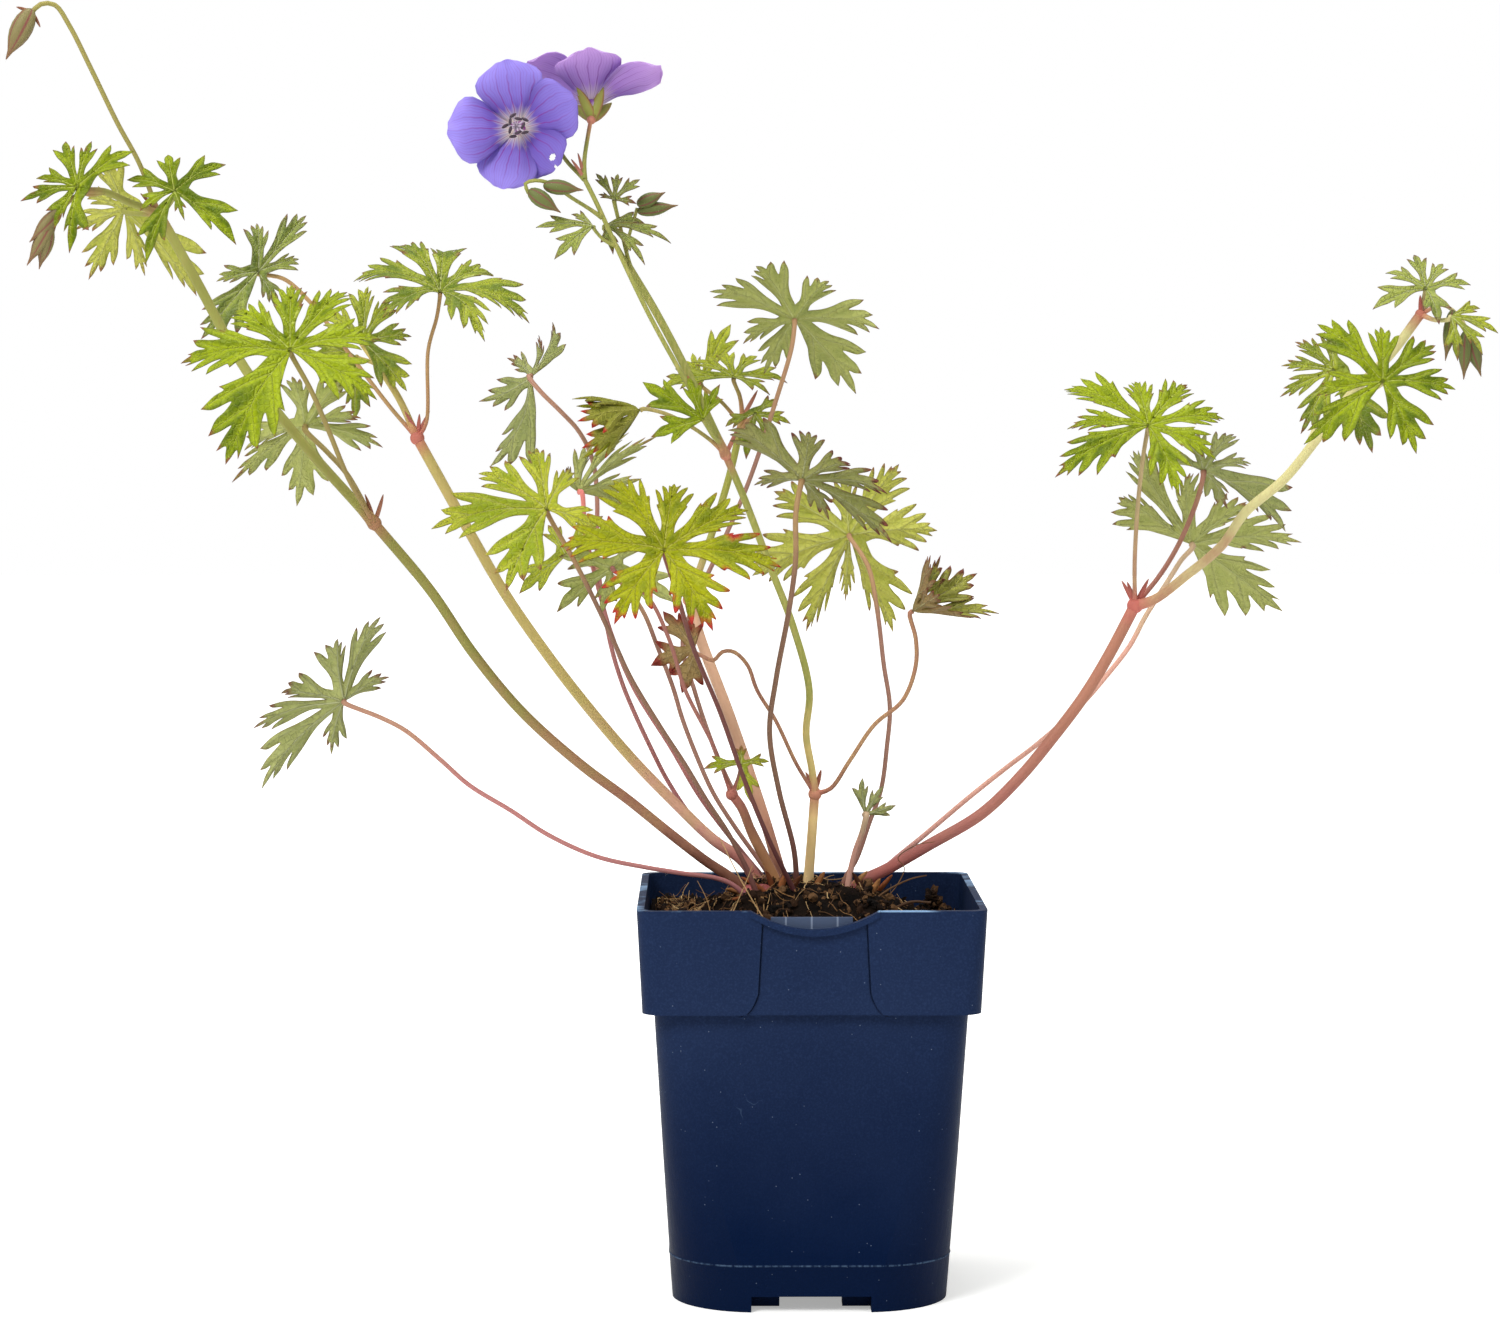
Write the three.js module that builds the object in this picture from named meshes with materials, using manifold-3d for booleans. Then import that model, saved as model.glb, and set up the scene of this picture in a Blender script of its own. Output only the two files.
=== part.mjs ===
// Hardy geranium in a square nursery pot. Millimetres, +Z up, the pot stands on z = 0.
// The pot's axis is x = y = 0 while the plant is put together; the last lines centre the whole object.
import * as THREE from 'three';
import { mergeVertices } from 'three/addons/utils/BufferGeometryUtils.js';
import Module from 'manifold-3d';

const wasm = await Module();
wasm.setup();

// ---- driving dimensions ----
const GAP = 0.3; // clear space between touching pieces
const RIM = 110; // pot, outside width at the rim
const COLLAR_FOOT = 106.7; // outside width at the bottom of the collar
const WAIST = 99.5; // outside width just below the collar
const BASE = 88.6; // outside width at the feet
const POT_HEIGHT = 129;
const COLLAR_HEIGHT = 33;
const WALL = 1.5;
const FOOT_HEIGHT = 5.7;
const FOOT_NOTCH = 38; // width of the cut in each side between the feet
const FLAP = 0.8; // how far the collar's corner flaps stand proud of the front panel
const SOIL_EDGE = 118; // height of the peat at the wall
const SOIL_MOUND = 14; // how much higher it is round the crown
const SOIL_FALL = 0.06; // how much lower it is on the right, a millimetre
const BLADE = 0.7; // thickness of a leaf blade
const PETAL = 0.6; // thickness of a petal
const STEM_SIDES = 6;
const STALK_SIDES = 4;

const group = new THREE.Group();

// ---- solids: closed meshes that can be joined and cut ----
function solid(geometry) {
  const bare = geometry.clone();
  bare.deleteAttribute('normal');
  bare.deleteAttribute('uv');
  const welded = mergeVertices(bare, 1e-4);
  const corners = Uint32Array.from(welded.index.array);
  return new wasm.Manifold(
    new wasm.Mesh({
      numProp: 3,
      vertProperties: Float32Array.from(welded.attributes.position.array),
      triVerts: corners,
    }),
  );
}

function geometryOf(body) {
  const mesh = body.getMesh();
  const geometry = new THREE.BufferGeometry();
  geometry.setAttribute('position', new THREE.BufferAttribute(mesh.vertProperties, 3));
  geometry.setIndex(new THREE.BufferAttribute(mesh.triVerts, 1));
  return geometry;
}

function joined(bodies) {
  return bodies.reduce((whole, next) => whole.add(next));
}

function place(name, geometry, color, roughness = 0.6) {
  const material = new THREE.MeshStandardMaterial({ color, roughness, metalness: 0 });
  const mesh = new THREE.Mesh(geometry, material);
  mesh.name = name;
  group.add(mesh);
}

const vec = ([x, y, z]) => new THREE.Vector3(x, y, z);

// ---- pot: injection-moulded plastic, one thin shell with a collar, four feet and a label slot ----
const CORNER_STEPS = 4;

// A ring is { z, half, round }: a square of half-width half with corners of radius round.
function ringPoints({ z, half, round }) {
  const points = [];
  for (let quarter = 0; quarter < 4; quarter += 1) {
    const turn = (quarter * Math.PI) / 2;
    for (let step = 0; step <= CORNER_STEPS; step += 1) {
      const angle = turn + (step / CORNER_STEPS) * (Math.PI / 2);
      const cx = (half - round) * Math.SQRT2 * Math.cos(turn + Math.PI / 4);
      const cy = (half - round) * Math.SQRT2 * Math.sin(turn + Math.PI / 4);
      points.push(new THREE.Vector3(cx + round * Math.cos(angle), cy + round * Math.sin(angle), z));
    }
  }
  return points;
}

// Skins a stack of rings, the lowest first, and closes both ends with a fan.
function skinned(rings) {
  const count = rings[0].length;
  const points = rings.flat();
  const index = [];
  for (let level = 0; level + 1 < rings.length; level += 1) {
    for (let side = 0; side < count; side += 1) {
      const a = level * count + side;
      const b = level * count + ((side + 1) % count);
      index.push(a, b, b + count, a, b + count, a + count);
    }
  }
  const centre = (ring) => ring.reduce((sum, p) => sum.add(p), new THREE.Vector3()).divideScalar(count);
  const last = (rings.length - 1) * count;
  const low = points.push(centre(rings[0])) - 1;
  const high = points.push(centre(rings.at(-1))) - 1;
  for (let side = 0; side < count; side += 1) {
    const next = (side + 1) % count;
    index.push(low, next, side, high, last + side, last + next);
  }
  const geometry = new THREE.BufferGeometry().setFromPoints(points);
  geometry.setIndex(index);
  return geometry;
}

const stack = (...rings) => solid(skinned(rings.map(ringPoints)));

function block(x0, x1, y0, y1, z0, z1) {
  const box = new THREE.BoxGeometry(x1 - x0, y1 - y0, z1 - z0);
  return solid(box.translate((x0 + x1) / 2, (y0 + y1) / 2, (z0 + z1) / 2));
}

// A flat outline in the XZ plane, pushed through from y0 to y1.
function plate(outline, y0, y1, curveSegments = 5) {
  const extruded = new THREE.ExtrudeGeometry(outline, { depth: y1 - y0, bevelEnabled: false, curveSegments });
  return solid(extruded.rotateX(Math.PI / 2).translate(0, y1, 0));
}

const SHOULDER = POT_HEIGHT - COLLAR_HEIGHT;
const FLOOR = FOOT_HEIGHT + WALL;
const PANEL = { left: -15.5, right: 17, tuck: 3.5, round: 7 }; // front panel between the flaps
const DIP = { left: -19.3, right: 21, depth: 5.9 }; // hollow in the front rim over the label slot
const TAB = { left: -13, right: 12.7, low: 108, top: 126.6, back: -49.6, thick: 1.2 };
const DRAIN = { radius: 4, out: 22 };

function dipOutline(drop) {
  const middle = (DIP.left + DIP.right) / 2;
  const outline = new THREE.Shape();
  outline.moveTo(DIP.left, POT_HEIGHT + 2);
  outline.lineTo(DIP.left, POT_HEIGHT - drop);
  outline.quadraticCurveTo(middle, POT_HEIGHT - 2 * DIP.depth - drop, DIP.right, POT_HEIGHT - drop);
  outline.lineTo(DIP.right, POT_HEIGHT + 2);
  return outline;
}

function panelOutline() {
  const outline = new THREE.Shape();
  const leftFoot = PANEL.left - PANEL.tuck;
  const rightFoot = PANEL.right + PANEL.tuck;
  outline.moveTo(PANEL.left, POT_HEIGHT + 2);
  outline.lineTo(leftFoot + 2, SHOULDER + PANEL.round);
  outline.quadraticCurveTo(leftFoot, SHOULDER, leftFoot - 4, SHOULDER - 1);
  outline.lineTo(rightFoot + 4, SHOULDER - 1);
  outline.quadraticCurveTo(rightFoot, SHOULDER, rightFoot - 2, SHOULDER + PANEL.round);
  outline.lineTo(PANEL.right, POT_HEIGHT + 2);
  return outline;
}

function collarShell(inset) {
  return stack(
    { z: SHOULDER, half: COLLAR_FOOT / 2 - inset, round: 7 },
    { z: POT_HEIGHT, half: RIM / 2 - inset, round: 5 },
  );
}

function makePot() {
  const body = stack(
    { z: 0, half: BASE / 2, round: 28 },
    { z: SHOULDER * 0.5, half: (BASE + WAIST) / 4, round: 17 },
    { z: SHOULDER + 1, half: WAIST / 2, round: 9 },
  );
  const bodyHollow = stack(
    { z: FLOOR, half: BASE / 2 - WALL + 0.4, round: 25 },
    { z: SHOULDER * 0.5, half: (BASE + WAIST) / 4 - WALL, round: 16 },
    { z: SHOULDER + WALL + 0.5, half: WAIST / 2 - WALL, round: 8 },
  );
  const collarHollow = stack(
    { z: SHOULDER + WALL, half: COLLAR_FOOT / 2 - WALL - FLAP, round: 6 },
    { z: POT_HEIGHT + 1, half: RIM / 2 - WALL - FLAP, round: 4.5 },
  );
  const panel = plate(panelOutline(), -RIM, -RIM / 4).subtract(collarShell(FLAP));
  let pot = body.add(collarShell(0).subtract(panel)).subtract(bodyHollow).subtract(collarHollow);

  // the dip in the front rim with its thick lip, and the label tab that stands behind it
  const front = -RIM / 2;
  const lip = plate(dipOutline(2), front - 0.2, front + WALL + 1.6).subtract(plate(dipOutline(0), -RIM, 0));
  const aboveRim = block(-RIM, RIM, -RIM, 0, POT_HEIGHT, 2 * RIM);
  pot = pot.subtract(plate(dipOutline(0.8), -RIM, -RIM / 4)).add(lip.subtract(aboveRim));
  const tabFront = TAB.back - TAB.thick;
  pot = pot.add(block(TAB.left, TAB.right, tabFront, TAB.back, TAB.low, TAB.top));
  for (const x of [TAB.left, (TAB.left + TAB.right) / 2, TAB.right - TAB.thick]) {
    pot = pot.add(block(x, x + TAB.thick, front + 2, TAB.back, TAB.low, TAB.top - 8));
  }

  // feet: the underside is hollow, each side is notched, and two small blocks flank each notch
  const under = stack({ z: -1, half: 36, round: 20 }, { z: FOOT_HEIGHT - 0.6, half: 36, round: 20 });
  pot = pot.subtract(under);
  const half = FOOT_NOTCH / 2;
  pot = pot.subtract(block(-half, half, -BASE, BASE, -1, FOOT_HEIGHT - 0.6));
  pot = pot.subtract(block(-BASE, BASE, -half, half, -1, FOOT_HEIGHT - 0.6));
  for (const side of [-1, 1]) {
    for (const end of [-1, 1]) {
      const along = side > 0 ? [10, half] : [-half, -10];
      const out = end > 0 ? [30, 37] : [-37, -30];
      pot = pot.add(block(...along, ...out, 0.5, FOOT_HEIGHT));
      pot = pot.add(block(...out, ...along, 0.5, FOOT_HEIGHT));
    }
  }
  for (const [x, y] of [[0, 0], [1, 1], [-1, 1], [-1, -1], [1, -1]]) {
    const drain = new THREE.CylinderGeometry(DRAIN.radius, DRAIN.radius, 4 * WALL, 6).rotateX(Math.PI / 2);
    pot = pot.subtract(solid(drain.translate(x * DRAIN.out, y * DRAIN.out, FLOOR)));
  }
  return pot;
}

place('pot', geometryOf(makePot()), 0x24314f, 0.45);

// ---- blades: a middle surface thickened to both sides ----
// Both faces are split into the same triangles, so a waved blade never crosses itself.
function normalsOf(points, triangles) {
  const normals = points.map(() => new THREE.Vector3());
  for (const [a, b, c] of triangles) {
    const ab = points[b].clone().sub(points[a]);
    const face = ab.cross(points[c].clone().sub(points[a]));
    for (const corner of [a, b, c]) normals[corner].add(face);
  }
  return normals.map((normal) => normal.normalize());
}

function thickened(points, triangles, thickness, normals = normalsOf(points, triangles)) {
  const edges = new Map();
  for (const [a, b, c] of triangles) {
    for (const [from, to] of [[a, b], [b, c], [c, a]]) {
      if (!edges.delete(`${to}-${from}`)) edges.set(`${from}-${to}`, [from, to]);
    }
  }
  const count = points.length;
  const shift = (p, i, side) => p.clone().addScaledVector(normals[i], (side * thickness) / 2);
  const skin = [...points.map((p, i) => shift(p, i, 1)), ...points.map((p, i) => shift(p, i, -1))];
  const index = [];
  for (const [a, b, c] of triangles) index.push(a, b, c, a + count, c + count, b + count);
  // a side wall is split along the same diagonal whichever way its edge runs, so walls that meet match
  for (const [a, b] of edges.values()) {
    if (a < b) index.push(b, a, a + count, b, a + count, b + count);
    else index.push(b, a, b + count, a, a + count, b + count);
  }
  const geometry = new THREE.BufferGeometry().setFromPoints(skin);
  geometry.setIndex(index);
  return geometry;
}

// ---- leaves: palmate, cut nearly to the petiole into toothed lobes ----
// Half a lobe's outline beyond its neck, in lobe lengths: [along the midrib, out from it], tip last.
const HALF_LOBE = {
  large: [[0.78, 0.29], [0.62, 0.125], [0.885, 0.18], [0.765, 0.06], [1, 0]],
  medium: [[0.78, 0.28], [0.63, 0.115], [1, 0]],
  small: [[0.76, 0.26], [0.66, 0.095], [1, 0]],
};
const NECK = { along: 0.4, out: 0.13, past: 0.08 }; // narrow foot of a lobe, at least past beyond its clefts
const CLEFT = 0.2; // where neighbouring lobes meet, in lobe lengths from the petiole
const FULL_WIDTH_ANGLE = 27; // half angle between two lobes, in degrees, that leaves them their full width
const ARCH = 0.09; // rise of the midrib between petiole and tip
const FOLD = 0.25; // rise of a lobe's edges from its midrib
const FLAT = 1e-6; // curl of an open leaf

// Upper-side normal of a leaf whose lobe tips are listed anticlockwise, as seen on that side.
function faceOf(tips) {
  const face = new THREE.Vector3();
  for (let i = 0; i + 1 < tips.length; i += 1) {
    face.add(vec(tips[i]).normalize().cross(vec(tips[i + 1]).normalize()));
  }
  return face.normalize();
}

const spanOf = (tips) => tips.reduce((sum, tip) => sum + vec(tip).length(), 0) / tips.length;

function halfLobeFor(span) {
  if (span > 27) return HALF_LOBE.large;
  return span > 19 ? HALF_LOBE.medium : HALF_LOBE.small;
}

// curl is the angle in radians through which each lobe bends towards its upper side, from petiole to tip.
function lobeFrames({ hub, tips, curl = FLAT, arch = ARCH }) {
  const face = faceOf(tips);
  return tips.map((tip) => {
    const length = vec(tip).length();
    const along = vec(tip).normalize();
    const up = face.clone().addScaledVector(along, -face.dot(along)).normalize();
    const out = up.clone().cross(along);
    const at = (a, b) => {
      const bend = curl * a;
      const rise = arch * 4 * a * (1 - a) + FOLD * Math.abs(b);
      return vec(hub)
        .addScaledVector(along, (Math.sin(bend) / curl - rise * Math.sin(bend)) * length)
        .addScaledVector(out, b * length)
        .addScaledVector(up, ((1 - Math.cos(bend)) / curl + rise * Math.cos(bend)) * length);
    };
    return { length, along, at };
  });
}

function leafBlade(leaf) {
  const lobes = lobeFrames(leaf);
  const half = halfLobeFor(spanOf(leaf.tips));
  const points = [vec(leaf.hub)];
  const lobeTriangles = lobes.map(() => []);
  const add = (point) => points.push(point) - 1;
  const between = (i, j) => lobes[i].along.angleTo(lobes[j].along) / 2;

  // one shared point at the bottom of the cleft between each two lobes
  const clefts = lobes.slice(1).map((lobe, i) => {
    const angle = between(i, i + 1);
    const reach = (CLEFT * (lobe.length + lobes[i].length)) / 2;
    const [a, b] = [lobes[i], lobe].map(({ length, at }, side) =>
      at((reach * Math.cos(angle)) / length, ((side ? -1 : 1) * reach * Math.sin(angle)) / length),
    );
    return { index: add(a.lerp(b, 0.5)), angle, reach };
  });

  lobes.forEach((lobe, i) => {
    const besides = [clefts[i - 1], clefts[i]].filter(Boolean);
    const reaches = besides.map(({ reach, angle }) => reach * Math.cos(angle));
    const neck = Math.max(NECK.along, Math.max(...reaches) / lobe.length + NECK.past);
    const tip = add(lobe.at(1, 0));
    const rib = add(lobe.at(neck, 0));
    for (const side of [1, -1]) {
      const cleft = clefts[side > 0 ? i : i - 1];
      const neighbour = (i + side + lobes.length) % lobes.length;
      const angle = cleft ? cleft.angle : between(i, neighbour);
      const room = Math.tan(angle) / Math.tan(THREE.MathUtils.degToRad(FULL_WIDTH_ANGLE));
      const width = Math.min(1, room) * (leaf.wide ?? 1);
      const flat = [[0, 0]];
      const ids = [0];
      if (cleft) {
        const { reach } = cleft;
        flat.push([(reach * Math.cos(angle)) / lobe.length, (side * reach * Math.sin(angle)) / lobe.length]);
        ids.push(cleft.index);
      }
      for (const [a, b] of [[neck, NECK.out], ...half.slice(0, -1)]) {
        flat.push([a, side * b * width]);
        ids.push(add(lobe.at(a, side * b * width)));
      }
      flat.push([1, 0], [neck, 0]);
      ids.push(tip, rib);
      const outline = flat.map(([a, b]) => new THREE.Vector2(a, b));
      for (const face of THREE.ShapeUtils.triangulateShape(outline, [])) {
        const [p, q, r] = face.map((k) => outline[k]);
        const turn = (q.x - p.x) * (r.y - p.y) - (q.y - p.y) * (r.x - p.x);
        const [a, b, c] = face.map((k) => ids[k]);
        lobeTriangles[i].push(turn > 0 ? [a, b, c] : [a, c, b]);
      }
    }
  });

  // the lobes share their corners along the clefts, and fusing them joins lobes that fold over each other
  const normals = normalsOf(points, lobeTriangles.flat());
  return geometryOf(joined(lobeTriangles.map((faces) => solid(thickened(points, faces, BLADE, normals)))));
}

// Each leaf: where its petiole joins it, and from there each lobe's tip, anticlockwise on the upper side.
// A curled leaf's tips are given as if its lobes were straight. wide makes lobes broader than their room.
const leaves = {
  leaf_low_left: {
    hub: [-148, -30, 193],
    tips: [
      [-5, 7, -17], [-27, 2, -27], [-28, -10, -7], [-19, -12, 4], [-1, -12, 21], [12, -9, 28],
      [14, 3, 8],
    ],
  },
  leaf_bright_left: {
    hub: [-159, -80, 303],
    tips: [
      [27, -11, -14], [27, 3, 4], [16, 14, 19], [-1, 16, 21], [-18, 10, 13], [-33, -2, -3],
      [-17, -25, -33],
    ],
  },
  leaf_behind_left: {
    hub: [-160, -26, 280],
    tips: [
      [-5, 22, -25], [-25, 16, -17], [-20, 6, -7], [-3, -10, 16], [13, -12, 15], [18, -3, 3],
      [24, 6, -6],
    ],
  },
  leaf_dark_back: {
    hub: [-182, 40, 331],
    tips: [[6, -4, -11], [13, 8, 5], [15, 14, 20], [-1, 8, 17], [-13, -6, -3], [-17, -15, -22]],
  },
  leaf_whorl_back: {
    hub: [-147, 36, 308],
    tips: [[15, -8, -16], [16, 1, 2], [9, 7, 15], [1, 9, 19], [-13, 5, 10]],
  },
  leaf_pale_back: { hub: [-150, 46, 303], tips: [[-16, 4, 6], [-10, -2, -15], [-1, 2, -21]] },
  leaf_tall_left: {
    hub: [-121, 30, 324],
    arch: 0.15,
    tips: [
      [16, -23, -15], [30, -12, -9], [17, 12, 7], [0, 24, 15], [-15, 20, 17], [-29, 6, 5],
      [-18, -12, -8],
    ],
  },
  leaf_edge_left: {
    hub: [-89, -10, 296],
    tips: [[-13, 16, -29], [-17, 20, -8], [-8, 9, 6], [3, -3, 13], [8, -10, 17]],
  },
  leaf_wide_left: {
    hub: [-83, -42, 254],
    tips: [[16, -5, -6], [7, 10, 13], [-4, 16, 20], [-22, 10, 12], [-36, -4, -5], [-12, -19, -24]],
  },
  leaf_thin_left: {
    hub: [-74, -12, 259],
    tips: [[-4, -6, 8], [4, 6, 15], [15, 12, 19], [24, 18, 18], [19, 16, 4]],
  },
  leaf_front: {
    hub: [-46, -70, 242],
    tips: [
      [15, -17, -23], [36, -3, -4], [26, 10, 13], [3, 16, 21], [-16, 17, 22], [-32, 2, 2],
      [-15, -16, -21],
    ],
  },
  leaf_behind_front: {
    hub: [-63, -22, 235],
    tips: [[-4, 7, -15], [-18, 5, -14], [-17, -2, 4], [8, -3, 9], [20, 5, -11]],
  },
  leaf_shaded_left: { hub: [-79, 8, 238], tips: [[12, 6, 13], [-6, 5, 10], [-15, -5, -12]] },
  leaf_red: {
    hub: [-37, -9, 208],
    wide: 1.5,
    tips: [[-4, 4, -14], [-14, 4, -5], [-10, -3, 13], [-2, -3, 10]],
  },
  leaf_curled: {
    hub: [-54, -34, 285],
    curl: 1.6,
    tips: [[-3, -23, -12], [-8, -23, 8], [-13, -7, 19], [-13, 12, 13], [-5, 11, -22]],
  },
  leaf_fork: { hub: [-34, -52, 282], tips: [[5, -4, 11], [-5, 2, 14], [-19, 3, 12], [-16, -6, -5]] },
  leaf_upper_a: {
    hub: [-24, 52, 296],
    tips: [[12, -9, -5], [18, -2, -1], [8, 9, 8], [-4, 12, 9], [-14, 7, 6], [-25, -4, -3]],
  },
  leaf_upper_b: {
    hub: [-17, 44, 284],
    tips: [[-3, -5, -15], [6, -3, -10], [12, 0, -3], [8, 4, 5], [-10, 2, -4]],
  },
  leaf_toothed: { hub: [-35, 66, 294], tips: [[10, 6, 21], [-3, 5, 11], [-12, 2, 3]] },
  leaf_high_centre: {
    hub: [-4, 30, 315],
    tips: [
      [-10, 15, -17], [-17, 6, -7], [-28, -9, 10], [-13, -16, 18], [11, -12, 13], [28, 2, -2],
      [21, 20, -23],
    ],
  },
  leaf_dark_centre: {
    hub: [-3, -36, 263],
    tips: [
      [-15, 2, -1], [-23, -12, 17], [2, -14, 16], [15, -13, 6], [27, -4, -3], [29, 8, -19], [9, 12, -12],
    ],
  },
  leaf_backlit: {
    hub: [14, 26, 244],
    tips: [
      [-1, 8, -22], [-14, 11, -32], [-32, 5, -13], [-25, -5, 15], [-2, -7, 20], [16, -8, 24],
      [29, -1, 2], [15, 11, -32],
    ],
  },
  leaf_crumpled: {
    hub: [33, -16, 221],
    curl: 0.9,
    tips: [
      [-2, 1, 16], [-4, -15, 17], [3, -17, 2], [15, -14, -10], [25, 8, -11],
      [17, 21, 6], [3, 12, 17],
    ],
  },
  leaf_right_a: {
    hub: [109, -8, 280],
    tips: [
      [8, -19, -21], [21, -9, -10], [25, 3, 3], [14, 12, 14], [-3, 13, 15], [-26, 12, 13], [-26, 0, 0],
      [-31, -14, -15],
    ],
  },
  leaf_right_b: {
    hub: [132, 34, 265],
    tips: [[-13, -5, 4], [-6, -16, 13], [8, -15, 13], [15, -6, 3], [30, 18, -19], [10, 15, -12]],
  },
  leaf_right_c: {
    hub: [131, 58, 240],
    tips: [[-27, -16, 17], [-24, -28, 33], [-3, -14, 25], [21, 3, 14], [39, 19, 1], [34, 28, -23]],
  },
  leaf_far_right: {
    hub: [180, -34, 294],
    tips: [
      [9, -12, -22], [23, -1, -2], [18, 7, 12], [1, 10, 18], [-19, 10, 19], [-21, -2, -4],
      [-26, -10, -19],
    ],
  },
  leaf_far_right_back: {
    hub: [172, 14, 298],
    tips: [[11, -13, -26], [-1, 7, 14], [-12, 5, 10], [-17, 1, 2], [-18, -4, -8], [-12, -10, -20]],
  },
  leaf_tip_right: {
    hub: [199, -2, 324],
    tips: [[2, -14, -11], [15, 2, 2], [7, 8, 9], [-2, 11, 12], [-12, 6, 6], [-18, -6, -6]],
  },
  leaf_tip_right_b: { hub: [205, -14, 315], tips: [[1, -8, -14], [9, -8, -12], [15, -2, -5], [10, 3, 3]] },
  leaf_top_left: {
    hub: [-225, -66, 353],
    tips: [[-1, -12, -20], [16, 7, 12], [3, 9, 15], [-5, 9, 15], [-13, 2, 3], [-17, -3, -4], [-6, -8, -13]],
  },
  leaf_top_under: {
    hub: [-216, -30, 348],
    tips: [[-13, 11, -21], [-16, 3, -6], [-12, -3, 5], [-6, -8, 16], [21, 13, -26], [5, 10, -20]],
  },
  leaf_top_front: {
    hub: [-196, -62, 352],
    tips: [[-7, -15, -22], [4, -8, -9], [20, -11, -16], [15, 6, 9], [-3, 8, 12], [-15, 3, 4], [-10, -5, -6]],
  },
  leaf_low_small: { hub: [-22, -20, 172], tips: [[3, -9, -11], [9, 1, 1], [0, 4, 6], [-12, -1, -1]] },
  leaf_low_right: { hub: [18, -12, 155], tips: [[-1, 0, 12], [6, 4, 9], [10, 1, 3]] },
  leaf_bract: { hub: [-65, -32, 343], tips: [[3, -10, -9], [13, -8, -12], [21, -2, -5], [13, 5, 1]] },
  leaf_bract_left: { hub: [-68, -47, 342], tips: [[-7, 2, 4], [-18, 0, 0], [-12, -7, -10]] },
  leaf_bract_top: {
    hub: [-62, -30, 351],
    tips: [[7, -2, -1], [8, 4, 7], [1, 6, 9], [-6, 5, 9], [-5, 1, 2]],
  },
};

const LEAF_GREEN = 0x7fa528;
const leafColors = {
  leaf_front: 0xa3b32a,
  leaf_wide_left: 0x93ad2b,
  leaf_backlit: 0x9cb92f,
  leaf_low_small: 0x9fb02c,
  leaf_red: 0x8a4a35,
  leaf_dark_back: 0x4f6b34,
  leaf_edge_left: 0x4f6b34,
  leaf_dark_centre: 0x5f6b40,
  leaf_low_left: 0x7c8f4a,
  leaf_curled: 0x567a2f,
  leaf_crumpled: 0x6b7a34,
};

for (const [name, leaf] of Object.entries(leaves)) {
  place(name, leafBlade(leaf), leafColors[name] ?? LEAF_GREEN, 0.55);
}

// ---- stems and petioles: one body for each main stem with all that branches from it ----
function tube(curve, radius, steps, sides) {
  const corners = Array.from({ length: sides }, (_, k) => {
    const angle = (2 * Math.PI * k) / sides;
    return new THREE.Vector2(radius * Math.cos(angle), radius * Math.sin(angle));
  });
  const section = new THREE.Shape(corners);
  return solid(new THREE.ExtrudeGeometry(section, { steps, extrudePath: curve, bevelEnabled: false }));
}

// Turns a shape that stands along +Y onto the line from one point to another, its foot at the first.
function aimed(geometry, from, to) {
  const line = vec(to).sub(vec(from)).normalize();
  const turn = new THREE.Quaternion().setFromUnitVectors(new THREE.Vector3(0, 1, 0), line);
  return solid(geometry.applyQuaternion(turn).translate(...from));
}

const distance = (from, to) => vec(to).distanceTo(vec(from));

// a bud: egg-shaped calyx with a drawn-out tip
function bud([from, to, width]) {
  const length = distance(from, to);
  const profile = [[0, 0], [0.42, 0.16], [0.44, 0.5], [0, 1]];
  const points = profile.map(([out, up]) => new THREE.Vector2(out * width, up * length));
  return aimed(new THREE.LatheGeometry(points, 5), from, to);
}

// a stipule or sepal: a slim pointed scale
function scale([from, to, width]) {
  const length = distance(from, to);
  return aimed(new THREE.ConeGeometry(width / 2, length, 3).translate(0, length / 2, 0), from, to);
}

// five sepals round the end of a pedicel, between the petals
function calyx({ at, axis, turn, reach, rise, width }) {
  const up = vec(axis).normalize();
  const side = new THREE.Vector3(1, 0, 0).addScaledVector(up, -up.x).normalize();
  const front = up.clone().cross(side);
  return [0, 1, 2, 3, 4].map((k) => {
    const angle = THREE.MathUtils.degToRad(turn + 72 * k);
    const tip = vec(at)
      .addScaledVector(up, rise)
      .addScaledVector(side, reach * Math.cos(angle))
      .addScaledVector(front, reach * Math.sin(angle));
    return scale([at, tip.toArray(), width]);
  });
}

function swelling([x, y, z, radius]) {
  return solid(new THREE.SphereGeometry(radius, 6, 3).rotateX(Math.PI / 2).translate(x, y, z));
}

const ROOT_DEPTH = 11; // how far a stem goes down into the peat from the crown
const ROOT_LEAN = 0.7; // how much of its first stretch's lean it keeps there
const LEAF_CLEARANCE = BLADE / 2 + GAP; // from the blade's middle to the end of its petiole

// The route of a run: its own points, before them the buried root, after them the underside of its leaf.
function routeOf({ at, leaf, rooted, radius }) {
  const points = at.map(vec);
  if (rooted) {
    const back = points[0].clone().sub(points[1]).multiplyScalar(ROOT_LEAN).setZ(-ROOT_DEPTH);
    points.unshift(points[0].clone().add(back));
  }
  if (leaf) {
    const { hub, tips } = leaves[leaf];
    points.push(vec(hub).addScaledVector(faceOf(tips), -LEAF_CLEARANCE - 0.9 * radius));
  }
  return new THREE.CatmullRomCurve3(points, false, 'centripetal');
}

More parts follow.
